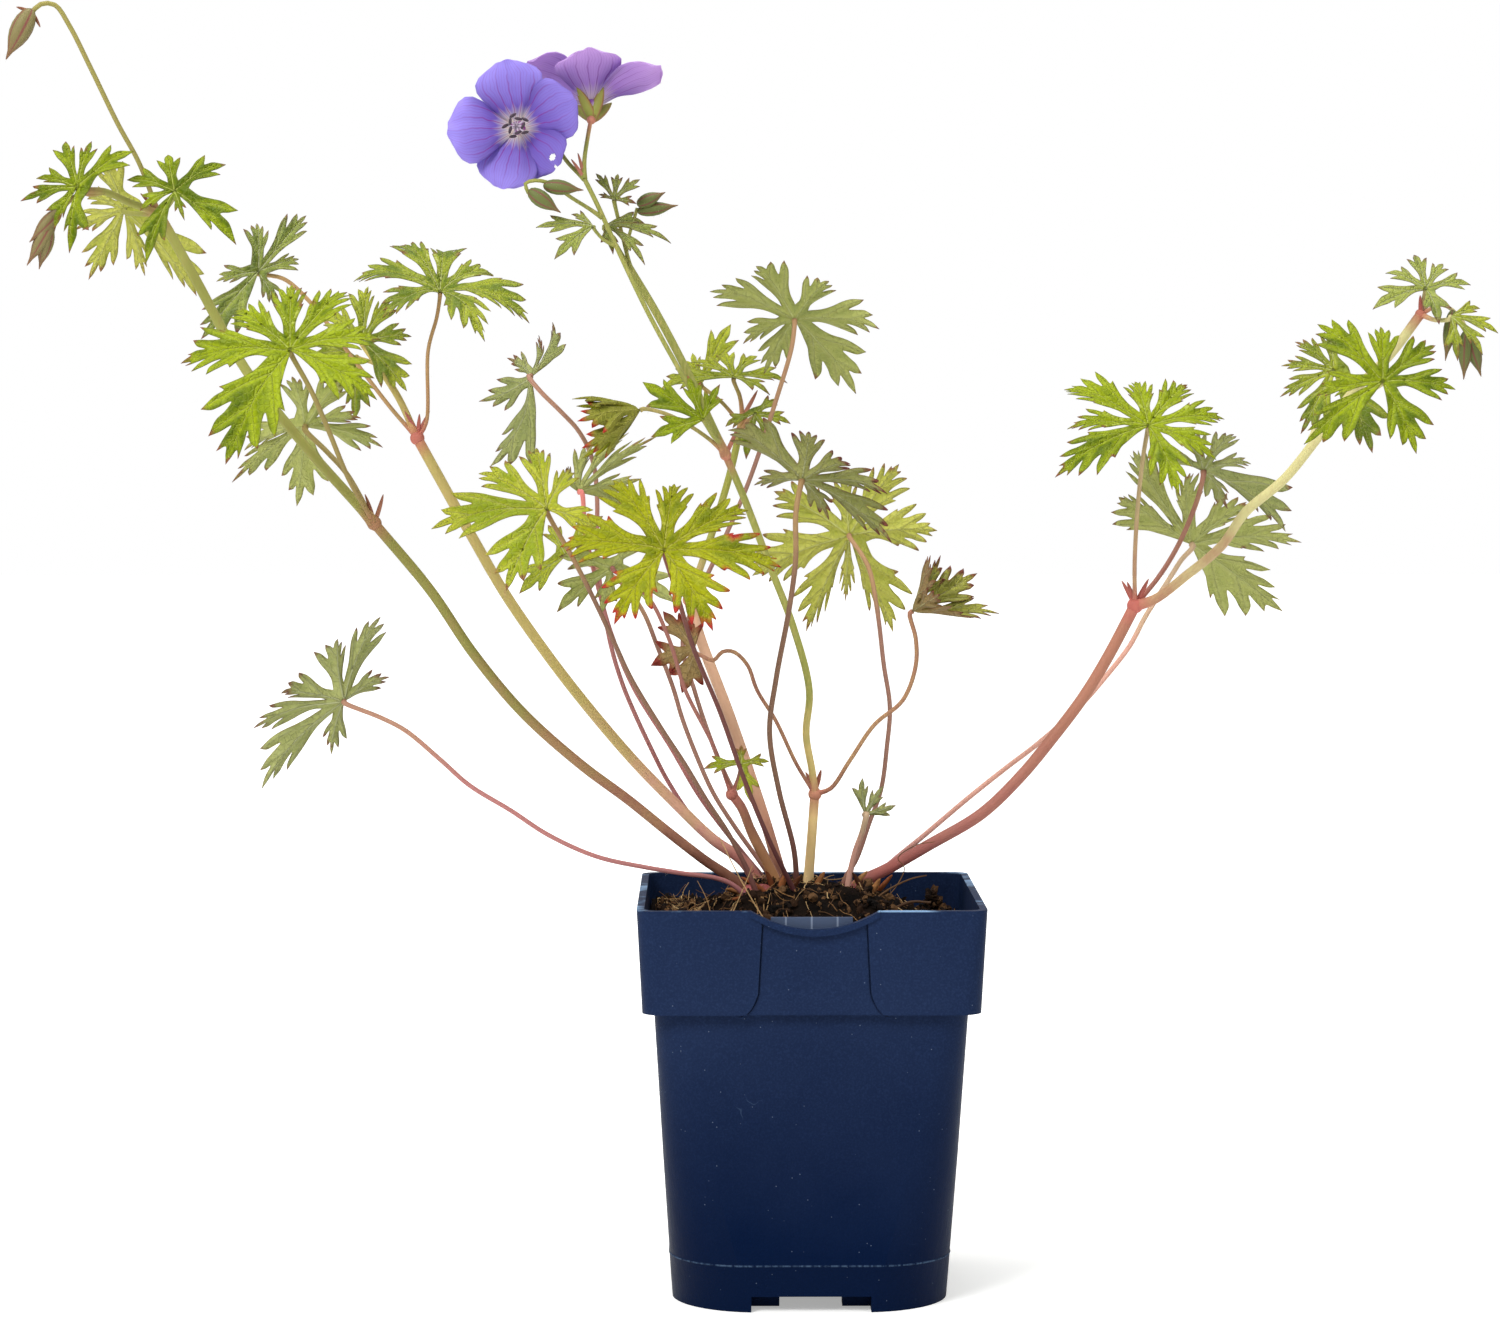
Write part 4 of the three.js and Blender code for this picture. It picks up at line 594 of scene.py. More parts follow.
# ---- Leaves ----
# Soft hairy blades, palmate, each cut nearly to its petiole into lobes with coarse teeth. Each lobe is folded
# along its midrib and arched, and between its sunken veins the blade is quilted. Paler and greyer below.
# hub is where the petiole joins, and tips are the lobes' tips from there, anticlockwise on the upper side.
# A leaf with a curl bends each lobe through that angle towards its upper side. A wide one has broader lobes,
# and arch takes the place of the usual ARCH.
LEAVES = {
    "leaf_low_left": {"hub": [-148, -30, 193], "tips": [[-5, 7, -17], [-27, 2, -27], [-28, -10, -7],
        [-19, -12, 4], [-1, -12, 21], [12, -9, 28], [14, 3, 8]]},
    "leaf_bright_left": {"hub": [-159, -80, 303], "tips": [[27, -11, -14], [27, 3, 4], [16, 14, 19],
        [-1, 16, 21], [-18, 10, 13], [-33, -2, -3], [-17, -25, -33]]},
    "leaf_behind_left": {"hub": [-160, -26, 280], "tips": [[-5, 22, -25], [-25, 16, -17], [-20, 6, -7],
        [-3, -10, 16], [13, -12, 15], [18, -3, 3], [24, 6, -6]]},
    "leaf_dark_back": {"hub": [-182, 40, 331], "tips": [[6, -4, -11], [13, 8, 5], [15, 14, 20], [-1, 8, 17],
        [-13, -6, -3], [-17, -15, -22]]},
    "leaf_whorl_back": {"hub": [-147, 36, 308], "tips": [[15, -8, -16], [16, 1, 2], [9, 7, 15], [1, 9, 19],
        [-13, 5, 10]]},
    "leaf_pale_back": {"hub": [-150, 46, 303], "tips": [[-16, 4, 6], [-10, -2, -15], [-1, 2, -21]]},
    "leaf_tall_left": {"hub": [-121, 30, 324], "arch": 0.15, "tips": [[16, -23, -15], [30, -12, -9],
        [17, 12, 7], [0, 24, 15], [-15, 20, 17], [-29, 6, 5], [-18, -12, -8]]},
    "leaf_edge_left": {"hub": [-89, -10, 296], "tips": [[-13, 16, -29], [-17, 20, -8], [-8, 9, 6],
        [3, -3, 13], [8, -10, 17]]},
    "leaf_wide_left": {"hub": [-83, -42, 254], "tips": [[16, -5, -6], [7, 10, 13], [-4, 16, 20],
        [-22, 10, 12], [-36, -4, -5], [-12, -19, -24]]},
    "leaf_thin_left": {"hub": [-74, -12, 259], "tips": [[-4, -6, 8], [4, 6, 15], [15, 12, 19], [24, 18, 18],
        [19, 16, 4]]},
    "leaf_front": {"hub": [-46, -70, 242], "tips": [[15, -17, -23], [36, -3, -4], [26, 10, 13], [3, 16, 21],
        [-16, 17, 22], [-32, 2, 2], [-15, -16, -21]]},
    "leaf_behind_front": {"hub": [-63, -22, 235], "tips": [[-4, 7, -15], [-18, 5, -14], [-17, -2, 4],
        [8, -3, 9], [20, 5, -11]]},
    "leaf_shaded_left": {"hub": [-79, 8, 238], "tips": [[12, 6, 13], [-6, 5, 10], [-15, -5, -12]]},
    "leaf_red": {"hub": [-37, -9, 208], "wide": 1.5, "tips": [[-4, 4, -14], [-14, 4, -5], [-10, -3, 13],
        [-2, -3, 10]]},
    "leaf_curled": {"hub": [-54, -34, 285], "curl": 1.6, "tips": [[-3, -23, -12], [-8, -23, 8],
        [-13, -7, 19], [-13, 12, 13], [-5, 11, -22]]},
    "leaf_fork": {"hub": [-34, -52, 282], "tips": [[5, -4, 11], [-5, 2, 14], [-19, 3, 12], [-16, -6, -5]]},
    "leaf_upper_a": {"hub": [-24, 52, 296], "tips": [[12, -9, -5], [18, -2, -1], [8, 9, 8], [-4, 12, 9],
        [-14, 7, 6], [-25, -4, -3]]},
    "leaf_upper_b": {"hub": [-17, 44, 284], "tips": [[-3, -5, -15], [6, -3, -10], [12, 0, -3], [8, 4, 5],
        [-10, 2, -4]]},
    "leaf_toothed": {"hub": [-35, 66, 294], "tips": [[10, 6, 21], [-3, 5, 11], [-12, 2, 3]]},
    "leaf_high_centre": {"hub": [-4, 30, 315], "tips": [[-10, 15, -17], [-17, 6, -7], [-28, -9, 10],
        [-13, -16, 18], [11, -12, 13], [28, 2, -2], [21, 20, -23]]},
    "leaf_dark_centre": {"hub": [-3, -36, 263], "tips": [[-15, 2, -1], [-23, -12, 17], [2, -14, 16],
        [15, -13, 6], [27, -4, -3], [29, 8, -19], [9, 12, -12]]},
    "leaf_backlit": {"hub": [14, 26, 244], "tips": [[-1, 8, -22], [-14, 11, -32], [-32, 5, -13],
        [-25, -5, 15], [-2, -7, 20], [16, -8, 24], [29, -1, 2], [15, 11, -32]]},
    "leaf_crumpled": {"hub": [33, -16, 221], "curl": 0.9, "tips": [[-2, 1, 16], [-4, -15, 17], [3, -17, 2],
        [15, -14, -10], [25, 8, -11], [17, 21, 6], [3, 12, 17]]},
    "leaf_right_a": {"hub": [109, -8, 280], "tips": [[8, -19, -21], [21, -9, -10], [25, 3, 3], [14, 12, 14],
        [-3, 13, 15], [-26, 12, 13], [-26, 0, 0], [-31, -14, -15]]},
    "leaf_right_b": {"hub": [132, 34, 265], "tips": [[-13, -5, 4], [-6, -16, 13], [8, -15, 13], [15, -6, 3],
        [30, 18, -19], [10, 15, -12]]},
    "leaf_right_c": {"hub": [131, 58, 240], "tips": [[-27, -16, 17], [-24, -28, 33], [-3, -14, 25],
        [21, 3, 14], [39, 19, 1], [34, 28, -23]]},
    "leaf_far_right": {"hub": [180, -34, 294], "tips": [[9, -12, -22], [23, -1, -2], [18, 7, 12],
        [1, 10, 18], [-19, 10, 19], [-21, -2, -4], [-26, -10, -19]]},
    "leaf_far_right_back": {"hub": [172, 14, 298], "tips": [[11, -13, -26], [-1, 7, 14], [-12, 5, 10],
        [-17, 1, 2], [-18, -4, -8], [-12, -10, -20]]},
    "leaf_tip_right": {"hub": [199, -2, 324], "tips": [[2, -14, -11], [15, 2, 2], [7, 8, 9], [-2, 11, 12],
        [-12, 6, 6], [-18, -6, -6]]},
    "leaf_tip_right_b": {"hub": [205, -14, 315], "tips": [[1, -8, -14], [9, -8, -12], [15, -2, -5],
        [10, 3, 3]]},
    "leaf_top_left": {"hub": [-225, -66, 353], "tips": [[-1, -12, -20], [16, 7, 12], [3, 9, 15],
        [-5, 9, 15], [-13, 2, 3], [-17, -3, -4], [-6, -8, -13]]},
    "leaf_top_under": {"hub": [-216, -30, 348], "tips": [[-13, 11, -21], [-16, 3, -6], [-12, -3, 5],
        [-6, -8, 16], [21, 13, -26], [5, 10, -20]]},
    "leaf_top_front": {"hub": [-196, -62, 352], "tips": [[-7, -15, -22], [4, -8, -9], [20, -11, -16],
        [15, 6, 9], [-3, 8, 12], [-15, 3, 4], [-10, -5, -6]]},
    "leaf_low_small": {"hub": [-22, -20, 172], "tips": [[3, -9, -11], [9, 1, 1], [0, 4, 6], [-12, -1, -1]]},
    "leaf_low_right": {"hub": [18, -12, 155], "tips": [[-1, 0, 12], [6, 4, 9], [10, 1, 3]]},
    "leaf_bract": {"hub": [-65, -32, 343], "tips": [[3, -10, -9], [13, -8, -12], [21, -2, -5], [13, 5, 1]]},
    "leaf_bract_left": {"hub": [-68, -47, 342], "tips": [[-7, 2, 4], [-18, 0, 0], [-12, -7, -10]]},
    "leaf_bract_top": {"hub": [-62, -30, 351], "tips": [[7, -2, -1], [8, 4, 7], [1, 6, 9], [-6, 5, 9],
        [-5, 1, 2]]},
}

NECK_PAST_CLEFT = 0.06
CLEFT = 0.2
FULL_WIDTH_ANGLE = math.radians(27)
ARCH = 0.09
FOLD = 0.25
BLADE = 0.36
BLADE_STEP = 0.95
QUILT = {"height": 0.3, "reach": 1.3}
DROOP = 0.05
FLAT = 1e-6
TIP = "tip"
# half a lobe's outline beyond its cleft, in lobe lengths: along the midrib, out from it, and which are tips
HALF_LOBES = {
    "large": [
        (0.3, 0.1), (0.4, 0.135), (0.48, 0.185), (0.565, 0.24, TIP), (0.565, 0.205), (0.64, 0.24),
        (0.78, 0.29, TIP), (0.735, 0.215), (0.62, 0.125), (0.7, 0.135), (0.78, 0.165), (0.885, 0.18, TIP),
        (0.84, 0.115), (0.765, 0.06), (0.84, 0.07), (0.94, 0.075, TIP), (0.9, 0.04), (0.95, 0.022),
    ],
    "medium": [
        (0.3, 0.1), (0.42, 0.14), (0.53, 0.2), (0.63, 0.245), (0.78, 0.28, TIP), (0.74, 0.205), (0.63, 0.115),
        (0.73, 0.125), (0.81, 0.145), (0.9, 0.14, TIP), (0.86, 0.08), (0.82, 0.05), (0.92, 0.035),
    ],
    "small": [
        (0.32, 0.1), (0.46, 0.15), (0.58, 0.21), (0.76, 0.26, TIP), (0.72, 0.17), (0.66, 0.095), (0.8, 0.09),
        (0.92, 0.04),
    ],
}
VEIN_SLANT = 1.75
# how long the lobes are on average, in millimetres, for each cut of leaf
LONG_LOBES = {"large": 27, "medium": 19, "small": 0}
WAVE = 0.012
# how far in from the teeth and from the margin their marks fade out, in millimetres
TOOTH_REACH = 6.0
MARGIN_REACH = 1.6
TOOTH_SHIFT = 0.018


def unit(vector):
    return vector / np.linalg.norm(vector)


def face_of(tips):
    """The upper-side normal of a leaf."""
    ways = [unit(np.array(tip, float)) for tip in tips]
    return unit(sum(np.cross(a, b) for a, b in zip(ways, ways[1:])))


def half_lobe_of(tips):
    span = sum(np.linalg.norm(tip) for tip in tips) / len(tips)
    return next(kind for kind, least in LONG_LOBES.items() if span > least)


def vein_lines(kind):
    """Each side vein of half a lobe, from the midrib to its tooth, in lobe lengths."""
    teeth = [(a, b) for a, b, *is_tip in HALF_LOBES[kind] if is_tip]
    return [((max(0.12, a - VEIN_SLANT * b), 0.0), (a, b)) for a, b in teeth]


def distance_to_lines(points, lines):
    """How far each point is from the nearest of some straight lines, in two dimensions."""
    nearest = np.full(len(points), 1e9)
    for start, end in lines:
        start, run = np.array(start), np.subtract(end, start)
        share = np.clip((points - start) @ run / (run @ run), 0, 1)
        nearest = np.minimum(nearest, np.linalg.norm(points - start - share[:, None] * run, axis=1))
    return nearest


def smooth_run(points, step):
    """A centripetal curve through two or more points, sampled about every step, without its last point."""
    points = [np.array(p, float) for p in points]
    points = [2 * points[0] - points[1], *points, 2 * points[-1] - points[-2]]
    run = []
    for p0, p1, p2, p3 in zip(points, points[1:], points[2:], points[3:]):
        gaps = [max(1e-6, np.linalg.norm(b - a)) ** 0.5 for a, b in ((p0, p1), (p1, p2), (p2, p3))]
        start = ((p1 - p0) / gaps[0] - (p2 - p0) / (gaps[0] + gaps[1]) + (p2 - p1) / gaps[1]) * gaps[1]
        end = ((p2 - p1) / gaps[1] - (p3 - p1) / (gaps[1] + gaps[2]) + (p3 - p2) / gaps[2]) * gaps[1]
        count = max(1, round(np.linalg.norm(p2 - p1) / step))
        for t in np.arange(count) / count:
            curve = p1 + start * t + (3 * (p2 - p1) - 2 * start - end) * t * t
            run.append(curve + (2 * (p1 - p2) + start + end) * t**3)
    return run


class Lobe:
    """One lobe: its own frame at the hub, and the map from lobe lengths to the blade's middle surface."""

    def __init__(self, leaf, tip, face, phase):
        tip = np.array(tip, float)
        self.hub = np.array(leaf["hub"], float)
        self.curl, self.arch = leaf.get("curl", FLAT), leaf.get("arch", ARCH)
        self.length = np.linalg.norm(tip)
        self.along = tip / self.length
        self.up = unit(face - (face @ self.along) * self.along)
        self.out = np.cross(self.up, self.along)
        self.phase = phase
        self.clefts = {}

    def plain(self, flat, lines):
        """The middle surface of the lobe by itself."""
        a, b = flat[:, 0], flat[:, 1]
        near = distance_to_lines(np.stack([a, abs(b)], 1), [*lines, ((0.0, 0.0), (1.0, 0.0))])
        quilt = QUILT["height"] * np.minimum(1, near * self.length / QUILT["reach"]) * np.minimum(1, 4 * a)
        wave = WAVE * np.sin(9 * a + self.phase) * np.sin(7 * b + 2 * self.phase)
        droop = DROOP * np.maximum(0, (a - 0.6) / 0.4) ** 2
        proud = (self.arch * 4 * a * (1 - a) + FOLD * abs(b) - droop + wave) * self.length + quilt
        bent, turn = self.curl * a, self.length / self.curl
        ahead = np.sin(bent) * turn - proud * np.sin(bent)
        lifted = (1 - np.cos(bent)) * turn + proud * np.cos(bent)
        beside = b * self.length
        return self.hub + np.outer(ahead, self.along) + np.outer(beside, self.out) + np.outer(lifted, self.up)

    def surface(self, flat, lines):
        """The blade's middle surface, drawn to its neighbours' along the clefts."""
        points = self.plain(flat, lines)
        a, b = flat[:, 0], flat[:, 1]
        for side, (foot, neighbour, other) in self.clefts.items():
            share = np.clip(a / foot[0], 0, 1)
            mine = self.plain(share[:, None] * foot, lines)
            theirs = neighbour.plain(share[:, None] * other, lines)
            fade = np.clip(1 - (a / foot[0] - 1) / 1.2, 0, 1)
            pull = np.clip(b * side / (np.maximum(share, 1e-3) * abs(foot[1])), 0, 1) ** 2 * fade
            points += (theirs - mine) / 2 * pull[:, None]
        return points


def inside(points, outline):
    """Which points lie inside a closed outline."""
    x, y = points[:, 0], points[:, 1]
    crossed = np.zeros(len(points), bool)
    for (x0, y0), (x1, y1) in zip(outline, np.roll(outline, -1, axis=0)):
        spans = (y0 > y) != (y1 > y)
        crossed ^= spans & (x < (x1 - x0) * (y - y0) / (y1 - y0 + 1e-12) + x0)
    return crossed


def half_outline(lobe, side, angle, kind, neck, leaf, draw):
    """Points of one side of a lobe from its neck to its tip, with the places of its teeth."""
    width = min(1.0, math.tan(angle) / math.tan(FULL_WIDTH_ANGLE)) * leaf.get("wide", 1.0)
    step = BLADE_STEP * 0.8 / lobe.length
    cleft = lobe.clefts.get(side)
    run = [(cleft[0][0], abs(cleft[0][1]) / width) if cleft else (0.02, 0.01)]
    outline, teeth = [], []
    for a, b, *is_tip in [*HALF_LOBES[kind], (1.0, 0.0, TIP)]:
        if a < neck:
            continue
        if is_tip and b:
            a, b = (along + draw.uniform(-1, 1) * TOOTH_SHIFT for along in (a, b))
        run.append((a, b))
        if is_tip:
            teeth.append((a, side * b * width))
        if is_tip and not (b and leaf["blunt"]):
            outline += smooth_run(run, step)
            run = [(a, b)]
    return [(a, side * b * width) for a, b in outline], teeth, width


def lobe_skin(lobe, angles, kind, leaf, draw):
    """The flat points and triangles of one lobe, with each point's mark, and its middle surface."""
    length, lines = lobe.length, vein_lines(kind)
    neck = max(foot[0] for foot, _, _ in lobe.clefts.values()) + NECK_PAST_CLEFT
    halves = {side: half_outline(lobe, side, angles[side], kind, neck, leaf, draw) for side in (1, -1)}
    seams = {1: [], -1: []}
    for side, (foot, _, _) in lobe.clefts.items():
        steps = max(2, round(foot[0] * length / BLADE_STEP))
        seams[side] = [tuple(k / steps * foot) for k in range(1, steps)]
    there, back = [*seams[1], *halves[1][0]], [*seams[-1], *halves[-1][0]]
    ring = np.array([(0.0, 0.0), *there, (1.0, 0.0), *reversed(back)])
    grid = BLADE_STEP / length
    rows = np.arange(0.0, 1.0, grid * 0.87)
    inner = [(a, b + (k % 2) * grid / 2) for k, a in enumerate(rows) for b in np.arange(-0.45, 0.45, grid)]
    inner += [(a, 0.0) for a in np.arange(grid, 1.0, grid)]
    for side in (1, -1):
        width = halves[side][2]
        for start, end in lines:
            shares = np.arange(0, 1, grid / math.dist(start, end))
            inner += [(start[0] + t * (end[0] - start[0]), side * width * t * end[1]) for t in shares]
    inner = np.array(inner)
    inner = inner[inside(inner, ring)]
    edges = list(zip(ring, np.roll(ring, -1, axis=0)))
    inner = inner[distance_to_lines(inner, edges) > 0.45 * grid]
    flat = [Vector(p) for p in np.concatenate([ring, inner])]
    corners, _, triangles, *_ = delaunay_2d_cdt(flat, [], [list(range(len(ring)))], 1, 1e-6)
    flat = np.array([tuple(p) for p in corners])
    teeth = halves[1][1] + halves[-1][1]
    to_tip = np.min([np.linalg.norm(flat - tooth, axis=1) for tooth in teeth], axis=0) * length
    to_margin = distance_to_lines(flat, edges[len(seams[1]) + 1 : -len(seams[-1]) - 1]) * length
    scale = np.where(flat[:, 1] > 0, halves[1][2], halves[-1][2])
    side_vein = distance_to_lines(np.stack([flat[:, 0], abs(flat[:, 1]) / scale], 1), lines) * length
    marks = {
        "veins": np.stack([abs(flat[:, 1]) * length, side_vein, flat[:, 0]], 1),
        "tooth": np.clip(1 - to_tip / TOOTH_REACH, 0, 1),
        "margin": np.clip(1 - to_margin / MARGIN_REACH, 0, 1),
    }
    return lobe.surface(flat, lines), [tuple(t) for t in triangles], marks


def thickened(points, triangles, marks, thickness):
    """Both faces of a blade and the walls along its open edges. Points that coincide share a normal."""
    same, owner = np.unique(np.round(points, 4), axis=0, return_inverse=True)
    owner = owner.ravel()
    corners = np.array(triangles)
    p, q, r = (points[corners[:, k]] for k in range(3))
    normals = np.zeros_like(same)
    for k in range(3):
        np.add.at(normals, owner[corners[:, k]], np.cross(q - p, r - p))
    normals = (normals / np.maximum(1e-9, np.linalg.norm(normals, axis=1))[:, None])[owner]
    edges = {}
    for triangle in triangles:
        for a, b in zip(triangle, triangle[1:] + triangle[:1]):
            if edges.pop((owner[b], owner[a]), None) is None:
                edges[owner[a], owner[b]] = (a, b)
    count = len(points)
    half = normals * thickness[:, None] / 2
    faces = [*triangles, *[(a + count, c + count, b + count) for a, b, c in triangles]]
    faces += [(b, a, a + count, b + count) for a, b in edges.values()]
    both = {name: np.concatenate([values, values]) for name, values in marks.items()}
    both["under"] = np.repeat([0.0, 1.0], count)
    return np.concatenate([points + half, points - half]), faces, both


def together(shells):
    """Several meshes, each its points, faces and marks, as one."""
    faces, start = [], 0
    for points, own, _ in shells:
        faces += [tuple(corner + start for corner in face) for face in own]
        start += len(points)
    marks = {name: np.concatenate([shell[2][name] for shell in shells]) for name in shells[0][2]}
    return np.concatenate([shell[0] for shell in shells]), faces, marks


# leaves with rounded teeth
BLUNT_LEAVES = (
    "leaf_front", "leaf_shaded_left", "leaf_backlit", "leaf_dark_centre", "leaf_red", "leaf_behind_front",
    "leaf_low_small",
)
# how far the teeth of each lobe have dried
DRY_LOBES = {
    "leaf_front": (1.0, 0.9, 0.55, 0.3, 0.25, 0.9, 1.0),
    "leaf_curled": (1.0, 1.0, 0.3, 0.3, 0.3, 1.0, 1.0),
}


def leaf_blade(name):
    """A whole blade: its lobes, each joined to the next at the foot of the cleft between them."""
    leaf = {**LEAVES[name], "blunt": name in BLUNT_LEAVES}
    draw = random.Random(name)
    face, kind = face_of(leaf["tips"]), half_lobe_of(leaf["tips"])
    lobes = [Lobe(leaf, tip, face, draw.uniform(0, 6)) for tip in leaf["tips"]]
    halves = [math.acos(np.clip(a.along @ b.along, -1, 1)) / 2 for a, b in zip(lobes, lobes[1:] + lobes[:1])]
    for angle, a, b in zip(halves, lobes, lobes[1:]):
        reach = CLEFT * (a.length + b.length) / 2
        foot_a = np.array([math.cos(angle), math.sin(angle)]) * reach / a.length
        foot_b = np.array([math.cos(angle), -math.sin(angle)]) * reach / b.length
        a.clefts[1] = (foot_a, b, foot_b)
        b.clefts[-1] = (foot_b, a, foot_a)
    angles = [{1: halves[k], -1: halves[k - 1]} for k in range(len(lobes))]
    skins = [lobe_skin(lobe, beside, kind, leaf, draw) for lobe, beside in zip(lobes, angles)]
    for skin, dry in zip(skins, DRY_LOBES.get(name, ())):
        skin[2]["tooth"] *= dry
    points, triangles, marks = together(skins)
    return thickened(points, triangles, marks, BLADE * (1 - 0.5 * marks["margin"]))


def vein_group():
    """Where a blade's veins are, from how far each point is from them in millimetres, and the net between."""
    inputs = {"Veins": "Vector", "Where": "Vector"}
    group, (veins, where), made = new_group("leaf veins", inputs, {"Line": "Float", "Net": "Float"})
    midrib, side_vein, along = veins.split()
    rib = (midrib / along.ramp(0.0, 1.0, 0.42, 0.12)).ramp(0.45, 1.0, 1.0, 0.0)
    branch = (side_vein / along.ramp(0.2, 1.0, 0.24, 0.12)).ramp(0.4, 1.1, 0.8, 0.0)
    feed(made[0], maths("MAXIMUM", rib, branch))
    cells = {"Vector": where, "Scale": 520.0}
    net = wired(group, "ShaderNodeTexVoronoi", cells, feature="DISTANCE_TO_EDGE")[0]
    feed(made[1], net.ramp(0.0, 0.16, 1.0, 0.0))
    return group


def see_through(look, tint, share):
    """Lets some of the light that falls on the far side of a thin blade through it."""
    nodes = look.tree.nodes
    through = wired(look.tree, "ShaderNodeBsdfTranslucent", {"Color": tint})[0]
    shaders = {0: share, 1: Wire(nodes["Principled BSDF"].outputs[0]), 2: through}
    feed(nodes["Material Output"].inputs["Surface"], wired(look.tree, "ShaderNodeMixShader", shaders)[0])


leaf_veins = vein_group()


def leaf_material(name, fresh, deep, vein, under, edge, tip, tip_reach):
    """tip_reach: how far in from the teeth their colour comes, as a share of TOOTH_REACH."""
    look = Look(name)
    line, net = look.placed(leaf_veins, {"Veins": look.mark("veins", "Vector"), "Where": look.where})
    midrib, side_vein, _ = look.mark("veins", "Vector").split()
    mottle = look.noise(420.0, 4.0, 0.65)
    tone = look.mark("tone") + look.noise(45.0, 2.0).ramp(0.3, 0.7, -0.5, 0.5)
    tone = tone + mottle.ramp(0.3, 0.7, -0.22, 0.22)
    # deeper green half way between the veins, where the blade bulges
    bulge = maths("MINIMUM", midrib, side_vein)
    tone = tone + bulge.ramp(0.1, 1.6, -0.35, 0.4)
    upper = tone.ramp(0.0, 1.0).blend(fresh, deep)
    below = tone.ramp(0.0, 1.0, 0.0, 0.45).blend(under, upper)
    tint = look.mark("under").blend(upper, below)
    tint = (net * 0.12).blend(tint, vein)
    tint = (line * 0.6).blend(tint, vein)
    ragged = look.mark("margin") + mottle.ramp(0.3, 0.7, -0.2, 0.2)
    tint = ragged.ramp(0.7, 1.0, 0.0, 0.5).blend(tint, edge)
    burnt = look.mark("tooth") + mottle.ramp(0.3, 0.7, -0.14, 0.14)
    burnt = burnt + look.noise(45.0, 1.0).ramp(0.35, 0.65, -0.16, 0.1)
    tint = burnt.ramp(1.0 - tip_reach, 1.12 - tip_reach * 0.6).blend(tint, tip)
    low = (1.0 - net) * 0.5 + (1.0 - line) + mottle * 0.3 + bulge.ramp(0.0, 1.8, 0.0, 1.4)
    see_through(look, tint, 0.3)
    return look.finish(tint, 0.45, 0.15, look.mark("under").blend(low, 2.5 - low), 0.0005)


# each look: fresh and deep green, veins, underside, margin, the teeth's tips, and how far in these reach
LEAF_LOOKS = {
    "lime": (0xAABA1C, 0x5C720C, 0xD0DA70, 0xA2AE58, 0x8C8E38, 0x9A6444, 0.25),
    "green": (0xC2CA3C, 0x74882A, 0xDAE09A, 0xC0C478, 0xA09650, 0x9C704C, 0.3),
    "yellow": (0xB6BA16, 0x7C880C, 0xD6D468, 0xA6A24A, 0x9C8430, 0xC23E34, 0.5),
    "backlit": (0xCCD040, 0x9CAC22, 0xE4E698, 0xD2D266, 0xAC9C4C, 0xA4784C, 0.3),
    "dark": (0xA6B056, 0x6C7A2C, 0xCCCE9E, 0xA8A664, 0x987256, 0x885044, 0.4),
    "grey": (0xB0BA58, 0x72823A, 0xD6DAAC, 0xB6BA76, 0x9C8A62, 0x946A54, 0.35),
    "dry": (0xB8BA50, 0x7A7A2E, 0xD2CC94, 0xA0805C, 0x96643E, 0x8A5040, 0.45),
    "red": (0xBEA656, 0x86683C, 0xD4BC8A, 0xB09662, 0xA4503C, 0x9A4034, 0.85),
}
LEAF_LOOK_OF = {
    "green": (
        "leaf_behind_left", "leaf_behind_front", "leaf_whorl_back", "leaf_pale_back", "leaf_thin_left",
        "leaf_upper_a", "leaf_upper_b", "leaf_high_centre", "leaf_right_c", "leaf_far_right_back",
        "leaf_tall_left", "leaf_shaded_left", "leaf_toothed", "leaf_tip_right_b",
    ),
    "yellow": ("leaf_front", "leaf_curled"),
    "backlit": ("leaf_backlit", "leaf_low_small", "leaf_wide_left", "leaf_top_under"),
    "dark": ("leaf_dark_centre", "leaf_bract", "leaf_bract_top"),
    "grey": (
        "leaf_low_left", "leaf_edge_left", "leaf_right_b", "leaf_low_right", "leaf_dark_back",
        "leaf_tip_right", "leaf_bract_left",
    ),
    "dry": ("leaf_crumpled",),
    "red": ("leaf_red",),
}
LEAF_SLOTS = {"yellow": "yellow", "backlit": "yellow", "dark": "dark", "dry": "dark", "red": "red"}
leaf_looks = {
    look: leaf_material(f"leaf {look}", *[colour(code) for code in codes], reach)
    for look, (*codes, reach) in LEAF_LOOKS.items()
}
for name in LEAVES:
    look = next((look for look, names in LEAF_LOOK_OF.items() if name in names), "lime")
    points, faces, marks = leaf_blade(name)
    marks["tone"] = np.full(len(points), random.Random(name).uniform(0.15, 0.75))
    blade = mesh_object(f"{name}_blade", points, faces, marks)
    dress(blade, leaf_looks[look], f"leaf_{LEAF_SLOTS.get(look, 'green')}", name)


